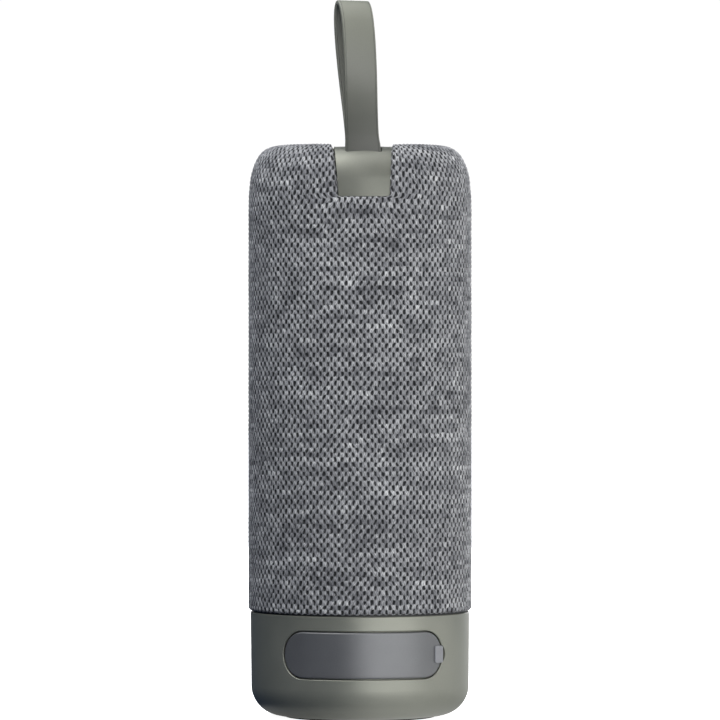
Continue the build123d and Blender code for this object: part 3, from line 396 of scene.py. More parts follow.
def mat_board(name):
    """Green solder mask with tracks under it."""
    t = Tree(name)
    p = t.place()
    sp = t.add("ShaderNodeSeparateXYZ", {"Vector": p})
    warp = t.noise(p, 180.0, 1.0)
    lines = t.math("SINE", t.math("ADD", t.math("MULTIPLY", sp.outputs["X"], 5200.0), t.math("MULTIPLY", warp, 14.0)))
    track = t.remap(lines, 0.55, 0.75, 0.0, 1.0)
    region = t.remap(t.noise(p, 95.0, 1.0), 0.48, 0.56, 0.0, 1.0)
    fac = t.math("MULTIPLY", track, region)
    col = t.mix(fac, lin(22, 66, 44), lin(48, 112, 72))
    return t.finish(Base_Color=col, Roughness=t.remap(fac, 0.0, 1.0, 0.38, 0.3), Normal=t.bump(fac, 0.00004))


def mat_strap():
    """Smooth soft band, painted lighter towards the top as painted light; a fine groove inside each edge, darkened as
    painted shade; the rounded edges painted lighter as a painted highlight; the inner face painted lighter as painted
    light.
    """
    t = Tree("strap_soft")
    p = t.place()
    sec = t.add("ShaderNodeSeparateXYZ", {"Vector": t.add("ShaderNodeUVMap", uv_map="BandUV").outputs["UV"]})
    slow = t.noise(p, 40.0, 3.0, 0.55)
    fine = t.noise(p, 3000.0, 2.0, 0.6)
    both = t.math("ADD", t.math("MULTIPLY", slow, 0.6), t.math("MULTIPLY", fine, 0.4))
    # painted light: the outer face is painted lighter towards the top, where more light falls on the band
    high = t.remap(t.add("ShaderNodeSeparateXYZ", {"Vector": p}).outputs["Z"], 0.186, 0.230, 0.0, 1.0, smooth=False)
    outer_painted_top_light = t.mix(high, t.ramp(both, [(0.34, lin(57, 58, 53)), (0.66, lin(64, 65, 60))]), t.ramp(both, [(0.34, lin(101, 103, 94)), (0.66, lin(111, 113, 103))]))
    # painted light: the inner face is painted lighter, for light that reaches the rear leg's inner side
    inner_face_painted_light = t.ramp(both, [(0.34, lin(104, 105, 99)), (0.66, lin(118, 119, 112))])
    col = t.mix(t.remap(sec.outputs["Y"], 0.72, 0.9, 0.0, 1.0), outer_painted_top_light, inner_face_painted_light)
    away = t.math("ABSOLUTE", t.math("SUBTRACT", sec.outputs["X"], 0.5))
    # a real groove, bumped in, with painted shade: its colour is darkened as the shade in it
    line = t.math("MULTIPLY", t.remap(away, 0.425, 0.435, 0.0, 1.0), t.remap(away, 0.445, 0.455, 1.0, 0.0))
    col = t.mix(t.math("MULTIPLY", line, 0.5), col, lin(40, 41, 38))
    # painted highlight: the rounded edges are painted lighter, as the light they catch
    edge_painted_highlight = t.remap(away, 0.46, 0.5, 0.0, 0.5)
    col = t.mix(edge_painted_highlight, col, lin(104, 105, 98))
    height = t.math("SUBTRACT", t.math("MULTIPLY", fine, 0.12), line)
    return t.finish(Base_Color=col, Roughness=t.remap(both, 0.35, 0.65, 0.40, 0.50), Normal=t.bump(height, 0.00006), Specular_IOR_Level=0.5)


def mat_metal(name, dark, light, rough=(0.22, 0.38), stretch=(1.0, 1.0, 14.0), scale=420.0, metallic=1.0):
    """Turned or drawn metal with fine lines."""
    t = Tree(name)
    p = t.add("ShaderNodeVectorMath", {0: t.place(), 1: stretch}, operation="MULTIPLY").outputs[0]
    n = t.noise(p, scale, 3.0, 0.6)
    col = t.ramp(n, [(0.3, lin(*dark)), (0.7, lin(*light))])
    return t.finish(Base_Color=col, Metallic=metallic, Roughness=t.remap(n, 0.3, 0.7, rough[0], rough[1]), Normal=t.bump(n, 0.00001))


def mat_wrap(name):
    """Battery wrap: printed film with a soft crease pattern."""
    t = Tree(name)
    p = t.place()
    slow = t.noise(p, 70.0, 3.0)
    crease = t.noise(t.add("ShaderNodeVectorMath", {0: p, 1: (1.0, 1.0, 0.2)}, operation="MULTIPLY").outputs[0], 800.0, 2.0)
    col = t.ramp(slow, [(0.35, lin(34, 88, 132)), (0.65, lin(48, 112, 160))])
    return t.finish(Base_Color=col, Roughness=t.remap(crease, 0.3, 0.7, 0.25, 0.42), Normal=t.bump(crease, 0.00003))


MATERIALS = {
    "knit": mat_knit(),
    "shell_satin": moulded("shell_satin", (114, 116, 108), (128, 129, 120), rough=(0.38, 0.46), metallic=0.5, mottle=35.0, grain=3800.0, bump=0.000006),
    "cap_satin": moulded("cap_satin", (93, 95, 88), (110, 111, 103), rough=(0.38, 0.46), metallic=0.5, mottle=35.0, grain=3800.0, bump=0.000006),
    "mark_paint": moulded("mark_paint", (196, 198, 192), (212, 213, 208), rough=(0.45, 0.55), grain=2600.0),
    "foot_rubber": moulded("foot_rubber", (26, 27, 28), (40, 41, 42), rough=(0.72, 0.88), grain=2400.0, bump=0.00003),
    "cover_rubber": moulded("cover_rubber", (93, 94, 96), (103, 104, 106), rough=(0.36, 0.44), metallic=0.5, mottle=45.0, grain=3200.0, bump=0.000008),
    # painted light: a lighter copy of the cover rubber, for the light the tab's forward-turned face catches
    "tab_rubber_painted_light": moulded("tab_rubber_painted_light", (114, 115, 119), (126, 127, 131), rough=(0.40, 0.48), metallic=0.35, mottle=45.0, grain=3200.0, bump=0.000008),
    "strap_soft": mat_strap(),
    "inner_plastic": moulded("inner_plastic", (34, 35, 37), (48, 49, 51), rough=(0.5, 0.62), grain=1500.0, bump=0.00002),
    "black_plastic": moulded("black_plastic", (18, 18, 20), (30, 30, 32), rough=(0.4, 0.52), grain=1500.0),
    "white_plastic": moulded("white_plastic", (196, 194, 184), (214, 212, 204), rough=(0.4, 0.5), grain=1500.0),
    "clear_plastic": moulded("clear_plastic", (210, 214, 214), (232, 234, 234), rough=(0.12, 0.22), grain=1500.0, bump=0.000004, Transmission_Weight=0.6),
    "board": mat_board("board"),
    "steel": mat_metal("steel", (138, 140, 143), (186, 188, 190)),
    "can_aluminium": mat_metal("can_aluminium", (168, 171, 174), (206, 208, 210)),
    "cell_wrap": mat_wrap("cell_wrap"),
    "wire_skin": moulded("wire_skin", (120, 22, 20), (150, 34, 30), rough=(0.42, 0.55), grain=2000.0),
    "ribbon": moulded("ribbon", (176, 120, 46), (196, 142, 62), rough=(0.3, 0.42), grain=1200.0),
    "ferrite": moulded("ferrite", (40, 40, 42), (58, 58, 60), rough=(0.55, 0.72), grain=1600.0, bump=0.00003),
    "copper": mat_metal("copper", (158, 88, 52), (208, 128, 84), stretch=(1.0, 12.0, 1.0)),
    "cone_paper": mat_paper("cone_paper", (30, 30, 32), (52, 52, 54)),
    "seal_rubber": moulded("seal_rubber", (24, 24, 25), (38, 38, 39), rough=(0.6, 0.75), grain=1800.0, bump=0.00002),
    "spider_cloth": mat_weave("spider_cloth", (150, 116, 60), (196, 160, 96)),
}


def dress(o, slot_name):
    o.data.materials.clear()
    o.data.materials.append(MATERIALS[slot_name])
    return o


slot_of = {s["node"]: s["material_slot"] for s in frame["record"]["subparts"]}
for name, o in nodes.items():
    dress(o, slot_of[name])
# the cap is a shade darker than the base
nodes["top_cap"].data.materials[0] = MATERIALS["cap_satin"]

# ----------------------------------------------------------------- sleeve

COLS = 96          # loops round the sleeve
PER = 6            # mesh columns to a loop
ROW = 1.53         # height of a row of loops, mm
NOTCH_Z = 169.05
NOTCH_ROLL = 0.55  # the turned edge's radius

SHOULDER = [
    (36.5, 165.0), (36.36, 170.6), (36.15, 173.3), (35.9, 175.9), (35.38, 178.5), (34.5, 181.1),
    (33.0, 183.8), (31.4, 185.4), (29.4, 186.4), (27.6, 186.75),
]


def notch_half(z):
    """Half the notch's width at a height, corners rounded."""
    w = 8.7 + (9.7 - 8.7) * (z - NOTCH_Z) / (185.4 - NOTCH_Z)
    dz = np.clip(z - (NOTCH_Z - 0.55), 0, 2.0)
    return w - (2.0 - np.sqrt(np.maximum(2.0**2 - (2.0 - dz) ** 2, 0)))


def sleeve():
    hem = smooth_line([(35.2, 37.4), (35.2, 35.8), (35.35, 35.25), (35.78, 34.98), (36.22, 35.2), (36.45, 35.8), (36.5, 36.8)], 8)
    side = np.array([(36.5, 37.2), (36.5, 164.0)])
    top = smooth_line([(36.5, 164.6)] + SHOULDER[1:] + [(26.65, 186.5), (26.05, 185.9), (25.8, 185.0), (25.8, 183.9)], 10)
    line, s = even(np.vstack([hem, side, top]), ROW / 4)
    d = np.gradient(line, axis=0)
    n = unit(np.stack([d[:, 1], -d[:, 0]], -1))  # outwards
    s0 = s[np.argmin(np.abs(line[:, 1] - 100.0) + 100 * (line[:, 0] < 36))]
    b0 = (s - s0) / ROW + 66.0
    rows, cols = len(line), COLS * PER
    a = (np.arange(cols) - cols // 2) / PER          # loop number, 0 at the front
    R, Z = line[:, 0][:, None], line[:, 1][:, None]
    phi = np.broadcast_to(a * 2 * math.pi / COLS, (rows, cols)).copy()
    edge = 4 * 2 * math.pi / COLS
    # how far the notch's edges move from their loop columns, by row
    zz = np.maximum(line[:, 1], NOTCH_Z - NOTCH_ROLL)
    grow = np.arcsin(np.clip((notch_half(zz) + NOTCH_ROLL) / line[:, 0], 0, 0.9)) - edge
    below = line[:, 1] < NOTCH_Z - NOTCH_ROLL
    grow_at = grow[np.argmax(~below & (s > s0))]
    grow[below] = grow_at * np.exp(-(NOTCH_Z - NOTCH_ROLL - line[below, 1]) / 5.0)
    grow = grow[:, None]
    t = np.clip((np.abs(a) - 4) / 12, 0, 1)
    fall = np.where(np.abs(a) < 4, np.abs(a) / 4, (1 - t) ** 2)
    phi += np.sign(a) * grow * fall
    # the opening sits a little to the left of the middle, more so towards the top
    off = (-0.22 - 0.25 * np.clip((line[:, 1] - NOTCH_Z) / 16.0, 0, 1)) * np.where(below, np.exp(-(NOTCH_Z - line[:, 1]) / 5.0), 1.0)
    phi += (off / line[:, 0])[:, None] * np.where(np.abs(a) < 4, 1.0, (1 - t) ** 2)
    # the rows climb towards the notch's top corners
    side_mm = np.maximum(np.abs(phi) * R - 8.0, 0.0)
    lift = 3.0 * np.exp(-side_mm / 9.0) * smoothstep(160, 183, Z) * smoothstep(0.0, 3.0, np.abs(a))
    pa = np.broadcast_to(a, (rows, cols)) + 0.0
    pb = b0[:, None] - lift / ROW
    f = np.cos(2 * math.pi * pa) * np.cos(math.pi * pb)
    k0 = np.floor(pb + 0.5)
    db = pb - k0
    da = (pa + 0.5 * np.mod(k0, 2) + 0.5) % 1 - 0.5
    dip = np.exp(-((da / 0.145) ** 2) - (db / 0.54) ** 2)
    fade = smoothstep(0, 6, np.arange(rows))[:, None] * (1 - 0.55 * smoothstep(rows - 14, rows - 2, np.arange(rows)))[:, None]
    rng = np.random.default_rng(7)
    slow = rng.normal(size=(rows // 16 + 3, cols // 24 + 1))
    slow = np.concatenate([slow, slow[:, :1]], 1)
    yi, xi = np.arange(rows) / 16, np.arange(cols) / 24 % (slow.shape[1] - 1)
    y0, x0 = yi.astype(int), xi.astype(int)
    fy, fx = smoothstep(0, 1, yi - y0)[:, None], smoothstep(0, 1, xi - x0)[None]
    puff = (slow[y0][:, x0] * (1 - fy) * (1 - fx) + slow[y0 + 1][:, x0] * fy * (1 - fx)
            + slow[y0][:, x0 + 1] * (1 - fy) * fx + slow[y0 + 1][:, x0 + 1] * fy * fx)
    h = (-0.02 - 0.15 * f - 0.31 * dip) * fade + 0.03 * puff * fade
    r = R + n[:, :1] * h
    z = Z + n[:, 1:] * h
    # the crest dips beside the opening, a little more on the right
    z = z - (0.40 + 0.22 * (a > 0)) * np.exp(-side_mm / 6.0) * smoothstep(182.5, 186.4, Z)
    co = np.stack([r * np.sin(phi), -r * np.cos(phi), np.broadcast_to(z, r.shape)], -1)
    nrm = np.stack([n[:, :1] * np.sin(phi), -n[:, :1] * np.cos(phi), np.broadcast_to(n[:, 1:], phi.shape)], -1)

    # cells of the notch are left out
    first = int(np.argmax(~below & (s > s0)))        # the row at the notch's lower edge
    ci = np.arange(cols)
    inside = (a >= -4) & (a < 4)

    def keep(rr, cc):
        return ~((rr >= first) & inside[cc])

    q = grid_quads(rows, cols, wrap_cols=True, keep=keep)
    rr, cc = q[:, 0] // cols, q[:, 0] % cols
    ua = np.stack([a[cc], a[cc] + 1 / PER, a[cc] + 1 / PER, a[cc]], -1)
    ub = pb.ravel()[q]
    uv = np.stack([ua / COLS + 0.5, ub / 128], -1)

    # the turned-in edge: down the left side, along the bottom, up the right
    li, ri = int(np.argmin(np.abs(a + 4))), int(np.argmin(np.abs(a - 4)))
    path = [(k, li) for k in range(rows - 1, first, -1)]
    path += [(first, c) for c in range(li, ri + 1)]
    path += [(k, ri) for k in range(first + 1, rows)]
    path = np.array(path)
    P = co[path[:, 0], path[:, 1]]
    Nn = nrm[path[:, 0], path[:, 1]]
    T = unit(np.gradient(P, axis=0))
    for _ in range(3):
        T = unit(T + 0.5 * (np.roll(T, 1, 0) + np.roll(T, -1, 0)) * np.isin(np.arange(len(T)), np.arange(1, len(T) - 1))[:, None])
    O = unit(np.cross(Nn, T))                         # towards the opening
    mid = np.array([0, P[:, 1].mean(), 178.0])
    if ((mid - P) * O).sum(1).mean() < 0:
        O = -O
    base_a, base_b = pa[path[:, 0], path[:, 1]], pb[path[:, 0], path[:, 1]]
    strip, sa, sb = [P], [base_a], [base_b]
    rr_ = NOTCH_ROLL
    steps = [(k * 15, 0) for k in range(1, 7)] + [(90, 0.5), (90, 1.1)]
    for deg, deeper in steps:
        th = math.radians(deg)
        out_ = O * rr_ * math.sin(th) - Nn * (rr_ * (1 - math.cos(th)) + deeper)
        run = rr_ * th + deeper
        side_dir = np.where(path[:, 1] == li, 1.0, np.where(path[:, 1] == ri, -1.0, 0.0))
        bott = np.where((path[:, 1] > li) & (path[:, 1] < ri), 1.0, 0.0)
        aa = base_a + side_dir * run / 2.38
        bb = base_b + bott * run / ROW
        ff = np.cos(2 * math.pi * aa) * np.cos(math.pi * bb)
        ff0 = np.cos(2 * math.pi * base_a) * np.cos(math.pi * base_b)
        dirn = O * math.sin(th) + Nn * math.cos(th)
        bump = (-0.12 * (ff - ff0)) * (1 if deeper == 0 else 0.3)
        strip.append(P + out_ + dirn * bump[:, None])
        sa.append(aa)
        sb.append(bb)
    strip, sa, sb = np.array(strip), np.array(sa), np.array(sb)
    q2 = grid_quads(len(strip), strip.shape[1]) + rows * cols
    k2 = q2 - rows * cols
    uv2 = np.stack([sa.ravel()[k2] / COLS + 0.5, sb.ravel()[k2] / 128], -1)
    allco = np.concatenate([co.reshape(-1, 3), strip.reshape(-1, 3)])
    o = mesh_object("knit_sleeve", allco, np.concatenate([q, q2]), loop_uv=np.concatenate([uv.reshape(-1, 2), uv2.reshape(-1, 2)]), uv_name="KnitUV")
    bm = bmesh.new()
    bm.from_mesh(o.data)
    bmesh.ops.remove_doubles(bm, verts=[v for v in bm.verts if v.index >= rows * cols or abs(v.co.x) < 0.0125 and v.co.y < 0], dist=1e-6)
    loose = [v for v in bm.verts if not v.link_faces]
    bmesh.ops.delete(bm, geom=loose, context="VERTS")
    bmesh.ops.recalc_face_normals(bm, faces=bm.faces)
    bm.to_mesh(o.data)
    bm.free()
    length = float(s[-1])
    return o, length


knit, knit_length = sleeve()
dress(knit, "knit")
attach(knit, "housing")
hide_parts("fabric_sleeve")

# ------------------------------------------------------------------ strap

STRAP_X, STRAP_Y = -0.2, -29.4
LOOP = [
    (-0.85, 184.0), (-1.0, 188.5), (-1.75, 193.0), (-2.95, 198.0), (-4.05, 203.0), (-4.75, 208.0),
    (-5.0, 213.0), (-4.95, 218.0), (-4.5, 223.0), (-3.6, 227.4), (-2.3, 230.3), (-0.8, 231.7),
]


def rounded_section(w, t, r, n=5):
    """Outline of a rounded rectangle."""
    pts = []
    for cx, cy, a0 in ((w / 2 - r, t / 2 - r, 0), (-w / 2 + r, t / 2 - r, 90), (-w / 2 + r, -t / 2 + r, 180), (w / 2 - r, -t / 2 + r, 270)):
        for k in range(n + 1):
            th = math.radians(a0 + 90 * k / n)
            pts.append((cx + r * math.cos(th), cy + r * math.sin(th)))
    return np.array(pts)


def strap():
    half = [(-0.85, 171.0), (-0.85, 175.0), (-0.85, 180.0)] + LOOP
    full = half + [(-o_, z_) for o_, z_ in reversed(half)]
    line, _ = even(smooth_line(full, 14), 0.7)
    o_, z_ = line[:, 0], line[:, 1]
    rise = np.maximum(z_ - 184.0, 0)
    tw = np.radians(16.0 / 44.0 * rise)
    C = np.stack([STRAP_X - o_ * np.sin(tw) - 0.071 * rise, STRAP_Y + o_ * np.cos(tw), z_], -1)
    T = unit(np.gradient(C, axis=0))
    X = np.stack([np.cos(tw), np.sin(tw), np.zeros_like(tw)], -1)
    X = unit(X - T * (X * T).sum(1, keepdims=True))
    Y = np.cross(T, X)
    sec = rounded_section(10.7, 1.4, 0.42)
    sec_n = len(sec)
    # the legs widen a little where they leave the slot
    wide = (1 + 0.075 * np.exp(-((z_ - 184.6) / 2.6) ** 2))[:, None, None]
    co = C[:, None] + X[:, None] * sec[None, :, :1] * wide + Y[:, None] * sec[None, :, 1:]
    q = grid_quads(len(C), sec_n, wrap_cols=True)
    co = co.reshape(-1, 3)
    caps = [np.arange(sec_n), np.arange(sec_n) + (len(C) - 1) * sec_n]
    extra = [C[0], C[-1]]
    tris = []
    base = len(co)
    for k, ring in enumerate(caps):
        for i in range(sec_n):
            tri = (ring[i], ring[(i + 1) % sec_n], base + k)
            tris.append(tri if k else tri[::-1])
    per_vertex = np.tile(sec / [10.7, 1.4] + 0.5, (len(C), 1))
    per_vertex = np.vstack([per_vertex, [[0.5, 0.5], [0.5, 0.5]]])
    loop_uv = np.concatenate([per_vertex[np.asarray(q).ravel()], per_vertex[np.asarray(tris).ravel()]])
    o = mesh_object("wrist_strap", np.vstack([co, extra]), q, tris, loop_uv=loop_uv, uv_name="BandUV")
    bm = bmesh.new()
    bm.from_mesh(o.data)
    bmesh.ops.recalc_face_normals(bm, faces=bm.faces)
    bm.to_mesh(o.data)
    bm.free()
    return o


band = strap()
dress(band, "strap_soft")
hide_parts("strap_loop", "strap_tails")
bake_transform(band, "housing", "strap", (0, STRAP_Y * MM, 0.185), (0, STRAP_Y * MM, 0.1895))

# ------------------------------------------------------------- port cover

COVER_R, COVER_IN = 35.8, 33.8
COVER_Z = (14.4 + 29.3) / 2
COVER_H = (29.3 - 14.4) / 2
COVER_L = math.radians(45.4) * 35.8


def stadium(half_len, half_h, grow, n_straight=109, n_cap=41):
    """Closed outline of a stadium in (along, up), the same count of points whatever it grows by."""
    h = max(half_h + grow, 1e-4)
    st = half_len - half_h
    top = np.stack([np.linspace(-st, st, n_straight), np.full(n_straight, h)], -1)
    th = np.radians(np.linspace(90, -90, n_cap)[1:-1])
    right = np.stack([st + h * np.cos(th), h * np.sin(th)], -1)
    bottom = top[::-1] * [1, -1]
    left = right[::-1] * [-1, 1]
    left = np.stack([-st - h * np.cos(th), -h * np.sin(th)], -1)
    return np.vstack([top, right, bottom, left])


def wrap(points, radius, zc=COVER_Z, ref=35.8):
    """(along, up) points laid on a cylinder round Z, 0 at the front."""
    ph = points[:, 0] / ref
    return np.stack([radius * np.sin(ph), -radius * np.cos(ph), zc + points[:, 1]], -1)


def port_cover():
    rings = []
    r_edge = 0.55
    rings.append((-COVER_H, COVER_IN))
    for g in (-5.0, -2.5, -0.6):
        rings.append((g, COVER_IN))
    rings.append((-0.15, COVER_IN))
    rings.append((0.0, COVER_IN + 0.15))
    rings.append((0.0, COVER_R - r_edge))
    for k in range(1, 8):
        th = math.radians(90 * k / 7)
        rings.append((-r_edge * (1 - math.cos(th)), COVER_R - r_edge * (1 - math.sin(th))))
    for g in (-0.9, -1.6, -2.6, -4.0, -5.6, -6.8):
        rings.append((g, COVER_R))
    rings.append((-COVER_H, COVER_R))
    co = [wrap(stadium(COVER_L, COVER_H, g), R) for g, R in rings]
    n = len(co[0])
    q = grid_quads(len(co), n, wrap_cols=True)
    # the two inmost rings are closed on their middle line
    me = mesh_object("port_flap", np.vstack(co), q)
    bm = bmesh.new()
    bm.from_mesh(me.data)
    bmesh.ops.remove_doubles(bm, verts=bm.verts, dist=2e-6)
    bmesh.ops.recalc_face_normals(bm, faces=bm.faces)
    bm.to_mesh(me.data)
    bm.free()
    return me


def pull_tab():
    """A small raised block with cut corners at the flap's free end, its face turned a little to the front."""
    x0, x1 = math.radians(39.8) * 35.8, math.radians(44.9) * 35.8
    z0, z1 = 19.05 - COVER_Z, 24.6 - COVER_Z
    cut = 0.4
    outline = [(x0 + cut, z0), (x1 - cut, z0), (x1, z0 + cut), (x1, z1 - cut), (x1 - cut, z1), (x0 + cut, z1), (x0, z1 - cut), (x0, z0 + cut)]
    fine = []
    for k in range(8):
        p, q_ = np.array(outline[k]), np.array(outline[(k + 1) % 8])
        m = max(2, int(np.linalg.norm(q_ - p) / 0.25))
        fine += [p + (q_ - p) * i / m for i in range(m)]
    fine = np.array(fine)
    c = np.array([(x0 + x1) / 2, (z0 + z1) / 2])
    rings = [(1.0, -0.9), (1.0, -0.16), (0.985, -0.07), (0.955, -0.02), (0.91, 0.0), (0.7, 0.0), (0.45, 0.0), (0.2, 0.0), (0.0, 0.0)]
    co = []
    for k, up in rings:
        pts = c + (fine - c) * k
        lean = 36.3 + 0.36 * (pts[:, 0] - x0) / (x1 - x0)
        co.append(wrap(pts, lean + up))
    n = len(fine)
    o = mesh_object("pull_tab", np.vstack(co), grid_quads(len(co), n, wrap_cols=True))
    bm = bmesh.new()
    bm.from_mesh(o.data)
    bmesh.ops.remove_doubles(bm, verts=bm.verts, dist=2e-6)
    bmesh.ops.recalc_face_normals(bm, faces=bm.faces)
    bm.to_mesh(o.data)
    bm.free()
    return o


flap = port_cover()
dress(flap, "cover_rubber")
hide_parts("port_cover", "port_cover_root")
tab = pull_tab()
dress(tab, "cover_rubber")
# the tab wears the lighter, painted-light copy of the cover rubber
tab.data.materials[0] = MATERIALS["tab_rubber_painted_light"]
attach(tab, "cover")


# ------------------------------------------------------------- key marks


def slab(outline, z0=185.8, z1=186.02):
    """A flat mark: a star-shaped or convex outline (mm) raised from z0 to z1."""
    pts = np.asarray(outline, float)
    n = len(pts)
    c = pts.mean(0)
    ring = [np.column_stack([pts, np.full(n, z0)]), np.column_stack([pts, np.full(n, z1)])]
    co = np.vstack(ring + [[[c[0], c[1], z1]]])
    q = [(i, (i + 1) % n, n + (i + 1) % n, n + i) for i in range(n)]
    t3 = [(n + i, n + (i + 1) % n, 2 * n) for i in range(n)]
    return co, q, t3


def bar(x, y, w, h):
    return slab([(x - w / 2, y - h / 2), (x + w / 2, y - h / 2), (x + w / 2, y + h / 2), (x - w / 2, y + h / 2)])


def disc(x, y, r):
    th = np.linspace(0, 2 * math.pi, 33)[:-1]
    return slab(np.stack([x + r * np.cos(th), y + r * np.sin(th)], -1))


def bow(x, y, r, w, a0, a1, z0=185.8, z1=186.02):
    """Part of a flat ring from angle a0 to a1, degrees."""
    th = np.radians(np.linspace(a0, a1, 33))
    n = len(th)
    rows = []
    for rad, z in ((r - w / 2, z0), (r - w / 2, z1), (r + w / 2, z1), (r + w / 2, z0)):
        rows.append(np.stack([x + rad * np.cos(th), y + rad * np.sin(th), np.full(n, z)], -1))
    co = np.vstack(rows)
    q = [(k * n + i, ((k + 1) % 4) * n + i, ((k + 1) % 4) * n + i + 1, k * n + i + 1) for k in range(4) for i in range(n - 1)]
    q += [(0, n, 2 * n, 3 * n), (n - 1, 4 * n - 1, 3 * n - 1, 2 * n - 1)]
    return co, q, []


def mark(name, parts, body):
    co, q, t3, base = [], [], [], 0
    for c, qq, tt in parts:
        co.append(c)
        q += [tuple(v + base for v in f) for f in qq]
        t3 += [tuple(v + base for v in f) for f in tt]
        base += len(c)
    o = mesh_object(name, np.vstack(co), q, t3 or None, smooth=False)
    bm = bmesh.new()
    bm.from_mesh(o.data)
    bmesh.ops.recalc_face_normals(bm, faces=bm.faces)
    bm.to_mesh(o.data)
    bm.free()
    dress(o, "shell_satin")
    o.data.materials[0] = MATERIALS["mark_paint"]
    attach(o, body)
    return o


mark("mark_play", [slab([(-3.0, -1.9), (0.2, 0.0), (-3.0, 1.9)]), bar(1.35, 0, 0.75, 3.6), bar(2.85, 0, 0.75, 3.6)], "play_key")
mark("mark_volume_up", [bar(15.6, -0.5, 3.8, 0.7), bar(15.6, 0.725, 0.7, 1.55), bar(15.6, -1.725, 0.7, 1.55)], "volume_up_key")
mark("mark_volume_down", [bar(-15.6, -0.5, 3.8, 0.7)], "volume_down_key")
mark("mark_power", [bow(-9.6, 13.4, 1.5, 0.5, 125, 415), bar(-9.6, 14.75, 0.5, 1.6)], "power_key")
mark("mark_pairing", [disc(8.5, 13.6, 0.45), bow(8.5, 13.6, 1.45, 0.42, -48, 48), bow(8.5, 13.6, 2.5, 0.42, -48, 48)], "pairing_key")


def on_arc(deg, R):
    return (R * math.sin(math.radians(deg)) * MM, -R * math.cos(math.radians(deg)) * MM, COVER_Z * MM)


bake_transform(flap, "housing", "cover", on_arc(-42.2, 36.0), on_arc(-38.0, 36.0))

# --------------------------------------------------- surrounds and spiders


def flexing(node, body, height, fixed, moving):
    """A ring that stays with the housing outside radius fixed and goes with the cone inside radius moving (mm)."""
    src = nodes[node]
    me = src.data.copy()
    me.transform(src.matrix_world)
    o = bpy.data.objects.new(node + "_ring", me)
    scene.collection.objects.link(o)
    dress(o, slot_of[node])
    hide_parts(node)
    y = sum(c[1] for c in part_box(node)) / 2
    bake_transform(o, "housing", body, (0, y, (height + fixed) * MM), (0, y, (height + moving) * MM))
    co = np.empty(len(me.vertices) * 3, np.float32)
    me.vertices.foreach_get("co", co)
    co = co.reshape(-1, 3) / MM
    away = np.hypot(co[:, 0], co[:, 2] - height)
    me.attributes["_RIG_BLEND"].data.foreach_set("value", (1 - smoothstep(moving, fixed, away)).astype(np.float32))


def middle_z(node):
    lo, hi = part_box(node)
    return (lo[2] + hi[2]) / 2 / MM


for side_name in ("lower", "upper"):
    zc = middle_z("driver_surround_" + side_name)
    flexing("driver_surround_" + side_name, "cone_" + side_name, zc, 19.8, 17.2)
    flexing("driver_spider_" + side_name, "cone_" + side_name, zc, 17.0, 7.4)
flexing("passive_radiator_surround", "passive", middle_z("passive_radiator_surround"), 19.7, 14.3)

# ------------------------------------------------------- camera and light

cam_data = bpy.data.cameras.new("camera")
cam_data.sensor_width = 36.0
cam_data.lens = 237.4
cam_data.clip_start = 0.05
cam_data.clip_end = 30
cam = bpy.data.objects.new("camera", cam_data)
scene.collection.objects.link(cam)
cam.location = (-0.0625, -1.5567, 0.1168)
cam.rotation_euler = (math.radians(90), 0, -math.atan2(0.0625, 1.5567))
scene.camera = cam


def area(name, loc, target, size, power, color=(1, 1, 1)):
    d = bpy.data.lights.new(name, "AREA")
    d.shape = "RECTANGLE"
    d.size, d.size_y = size
    d.energy = power
    d.color = color
    o = bpy.data.objects.new(name, d)
    o.location = loc
    o.rotation_euler = (Vector(target) - Vector(loc)).to_track_quat("-Z", "Y").to_euler()
    scene.collection.objects.link(o)
    return o


area("key_right", (0.60, -1.08, 0.16), (0, 0, 0.08), (1.5, 0.3), 8.4)
area("side_right", (1.20, 0.10, 0.40), (0, 0, 0.14), (0.8, 0.6), 3.6)
area("front_fill", (0.25, -1.40, 0.26), (0, 0, 0.10), (0.7, 0.5), 1.2)
area("overhead", (-0.18, -0.20, 0.92), (0, 0, 0.17), (1.3, 1.0), 10.0)
area("top_soft", (-0.26, -0.26, 0.60), (0, 0, 0.20), (0.3, 0.3), 1.6, (1.0, 0.985, 0.94))
area("right_top", (0.33, -0.38, 0.66), (0, 0, 0.22), (0.2, 0.2), 0.35)
area("left_top", (-0.34, 0.06, 0.48), (0, 0, 0.18), (0.3, 0.3), 0.45, (0.88, 0.98, 1.10))
area("back_fill", (0.35, 1.2, 0.45), (0, 0, 0.1), (0.9, 0.9), 9)

world = bpy.data.worlds.new("studio")
scene.world = world
world.use_nodes = True
wt = world.node_tree
wt.nodes.clear()
w_out = wt.nodes.new("ShaderNodeOutputWorld")
w_mix = wt.nodes.new("ShaderNodeMixShader")
w_ray = wt.nodes.new("ShaderNodeLightPath")
w_seen = wt.nodes.new("ShaderNodeBackground")
w_seen.inputs["Color"].default_value = (1, 1, 1, 1)
w_seen.inputs["Strength"].default_value = 1.02
w_lit = wt.nodes.new("ShaderNodeBackground")
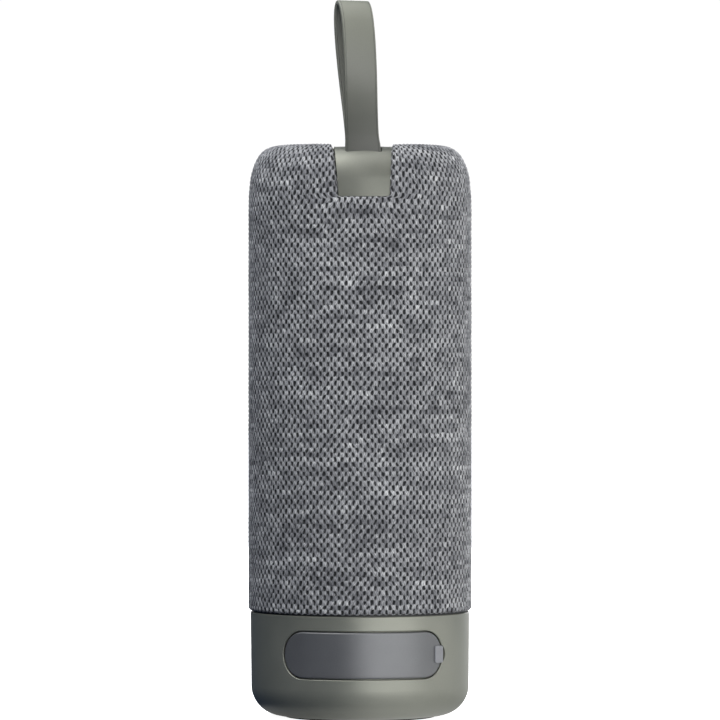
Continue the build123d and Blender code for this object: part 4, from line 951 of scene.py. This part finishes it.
# the studio is brighter towards the right and dim on the left
w_dir = wt.nodes.new("ShaderNodeTexCoord")
w_dot = wt.nodes.new("ShaderNodeVectorMath")
w_dot.operation = "DOT_PRODUCT"
w_dot.inputs[1].default_value = (0.80, -0.55, 0.22)
wt.links.new(w_dir.outputs["Generated"], w_dot.inputs[0])
w_map = wt.nodes.new("ShaderNodeMapRange")
w_map.interpolation_type = "SMOOTHSTEP"
for k, v in {"From Min": -0.55, "From Max": 1.0, "To Min": 0.03, "To Max": 0.36}.items():
    w_map.inputs[k].default_value = v
wt.links.new(w_dot.outputs["Value"], w_map.inputs["Value"])
wt.links.new(w_map.outputs["Result"], w_lit.inputs["Strength"])
w_tint = wt.nodes.new("ShaderNodeMix")
w_tint.data_type = "RGBA"
w_tint.inputs[6].default_value = (0.46, 0.92, 1.85, 1)
w_tint.inputs[7].default_value = (1.0, 1.0, 0.98, 1)
w_share = wt.nodes.new("ShaderNodeMapRange")
for k, v in {"From Min": -0.6, "From Max": 0.7, "To Min": 0.0, "To Max": 1.0}.items():
    w_share.inputs[k].default_value = v
wt.links.new(w_dot.outputs["Value"], w_share.inputs["Value"])
wt.links.new(w_share.outputs["Result"], w_tint.inputs[0])
wt.links.new(w_tint.outputs[2], w_lit.inputs["Color"])
wt.links.new(w_ray.outputs["Is Camera Ray"], w_mix.inputs[0])
wt.links.new(w_lit.outputs[0], w_mix.inputs[1])
wt.links.new(w_seen.outputs[0], w_mix.inputs[2])
wt.links.new(w_mix.outputs[0], w_out.inputs["Surface"])

floor_co = [(-6000, -6000, -0.03), (6000, -6000, -0.03), (6000, 6000, -0.03), (-6000, 6000, -0.03)]
floor = mesh_object("floor", floor_co, [(0, 1, 2, 3)], smooth=False)
t = Tree("floor_paper")
grain = t.noise(t.place(), 30.0, 3.0)
tone = t.ramp(grain, [(0.3, lin(238, 238, 238)), (0.7, lin(244, 244, 244))])
bs = t.add("ShaderNodeBsdfDiffuse", {"Color": tone})
em = t.add("ShaderNodeEmission", {"Color": (1, 1, 1, 1), "Strength": 0.93})
both = t.add("ShaderNodeAddShader", {0: bs.outputs[0], 1: em.outputs[0]})
# painted light for all rays but the camera's: the floor is painted dark blue on the left as the object's shadow,
# lighter and glowing on the right as a pool of light, and glowing under the base as light from below
side = t.add("ShaderNodeSeparateXYZ", {"Vector": t.place()}).outputs["X"]
dark = t.add("ShaderNodeBsdfDiffuse", {"Color": t.ramp(t.remap(side, -0.05, 0.09, 0.0, 1.0), [(0.0, lin(32, 46, 68)), (1.0, lin(214, 214, 210))])})
reach = t.add("ShaderNodeVectorMath", {0: t.place()}, operation="LENGTH").outputs["Value"]
under = t.math("MULTIPLY", t.remap(reach, 0.0375, 0.0335, 0.0, 0.26), t.remap(side, 0.012, 0.034, 1.0, 0.5))
painted_floor_glow = t.add("ShaderNodeEmission", {"Color": (1, 1, 1, 1), "Strength": t.math("ADD", t.math("MULTIPLY", t.remap(side, -0.022, 0.012, 0.0, 0.5), t.remap(side, 0.022, 0.042, 1.0, 0.2)), under)})
painted_floor_light = t.add("ShaderNodeAddShader", {0: dark.outputs[0], 1: painted_floor_glow.outputs[0]})
ray = t.add("ShaderNodeLightPath")
pick = t.add("ShaderNodeMixShader", {0: ray.outputs["Is Camera Ray"], 1: painted_floor_light.outputs[0], 2: both.outputs[0]})
t.nt.links.new(pick.outputs[0], t.out.inputs["Surface"])
floor.data.materials.append(t.mat)
floor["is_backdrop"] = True

scene.view_settings.view_transform = "Standard"
scene.view_settings.look = "None"

{"cad": size_at_load, "visual": plain(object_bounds())}
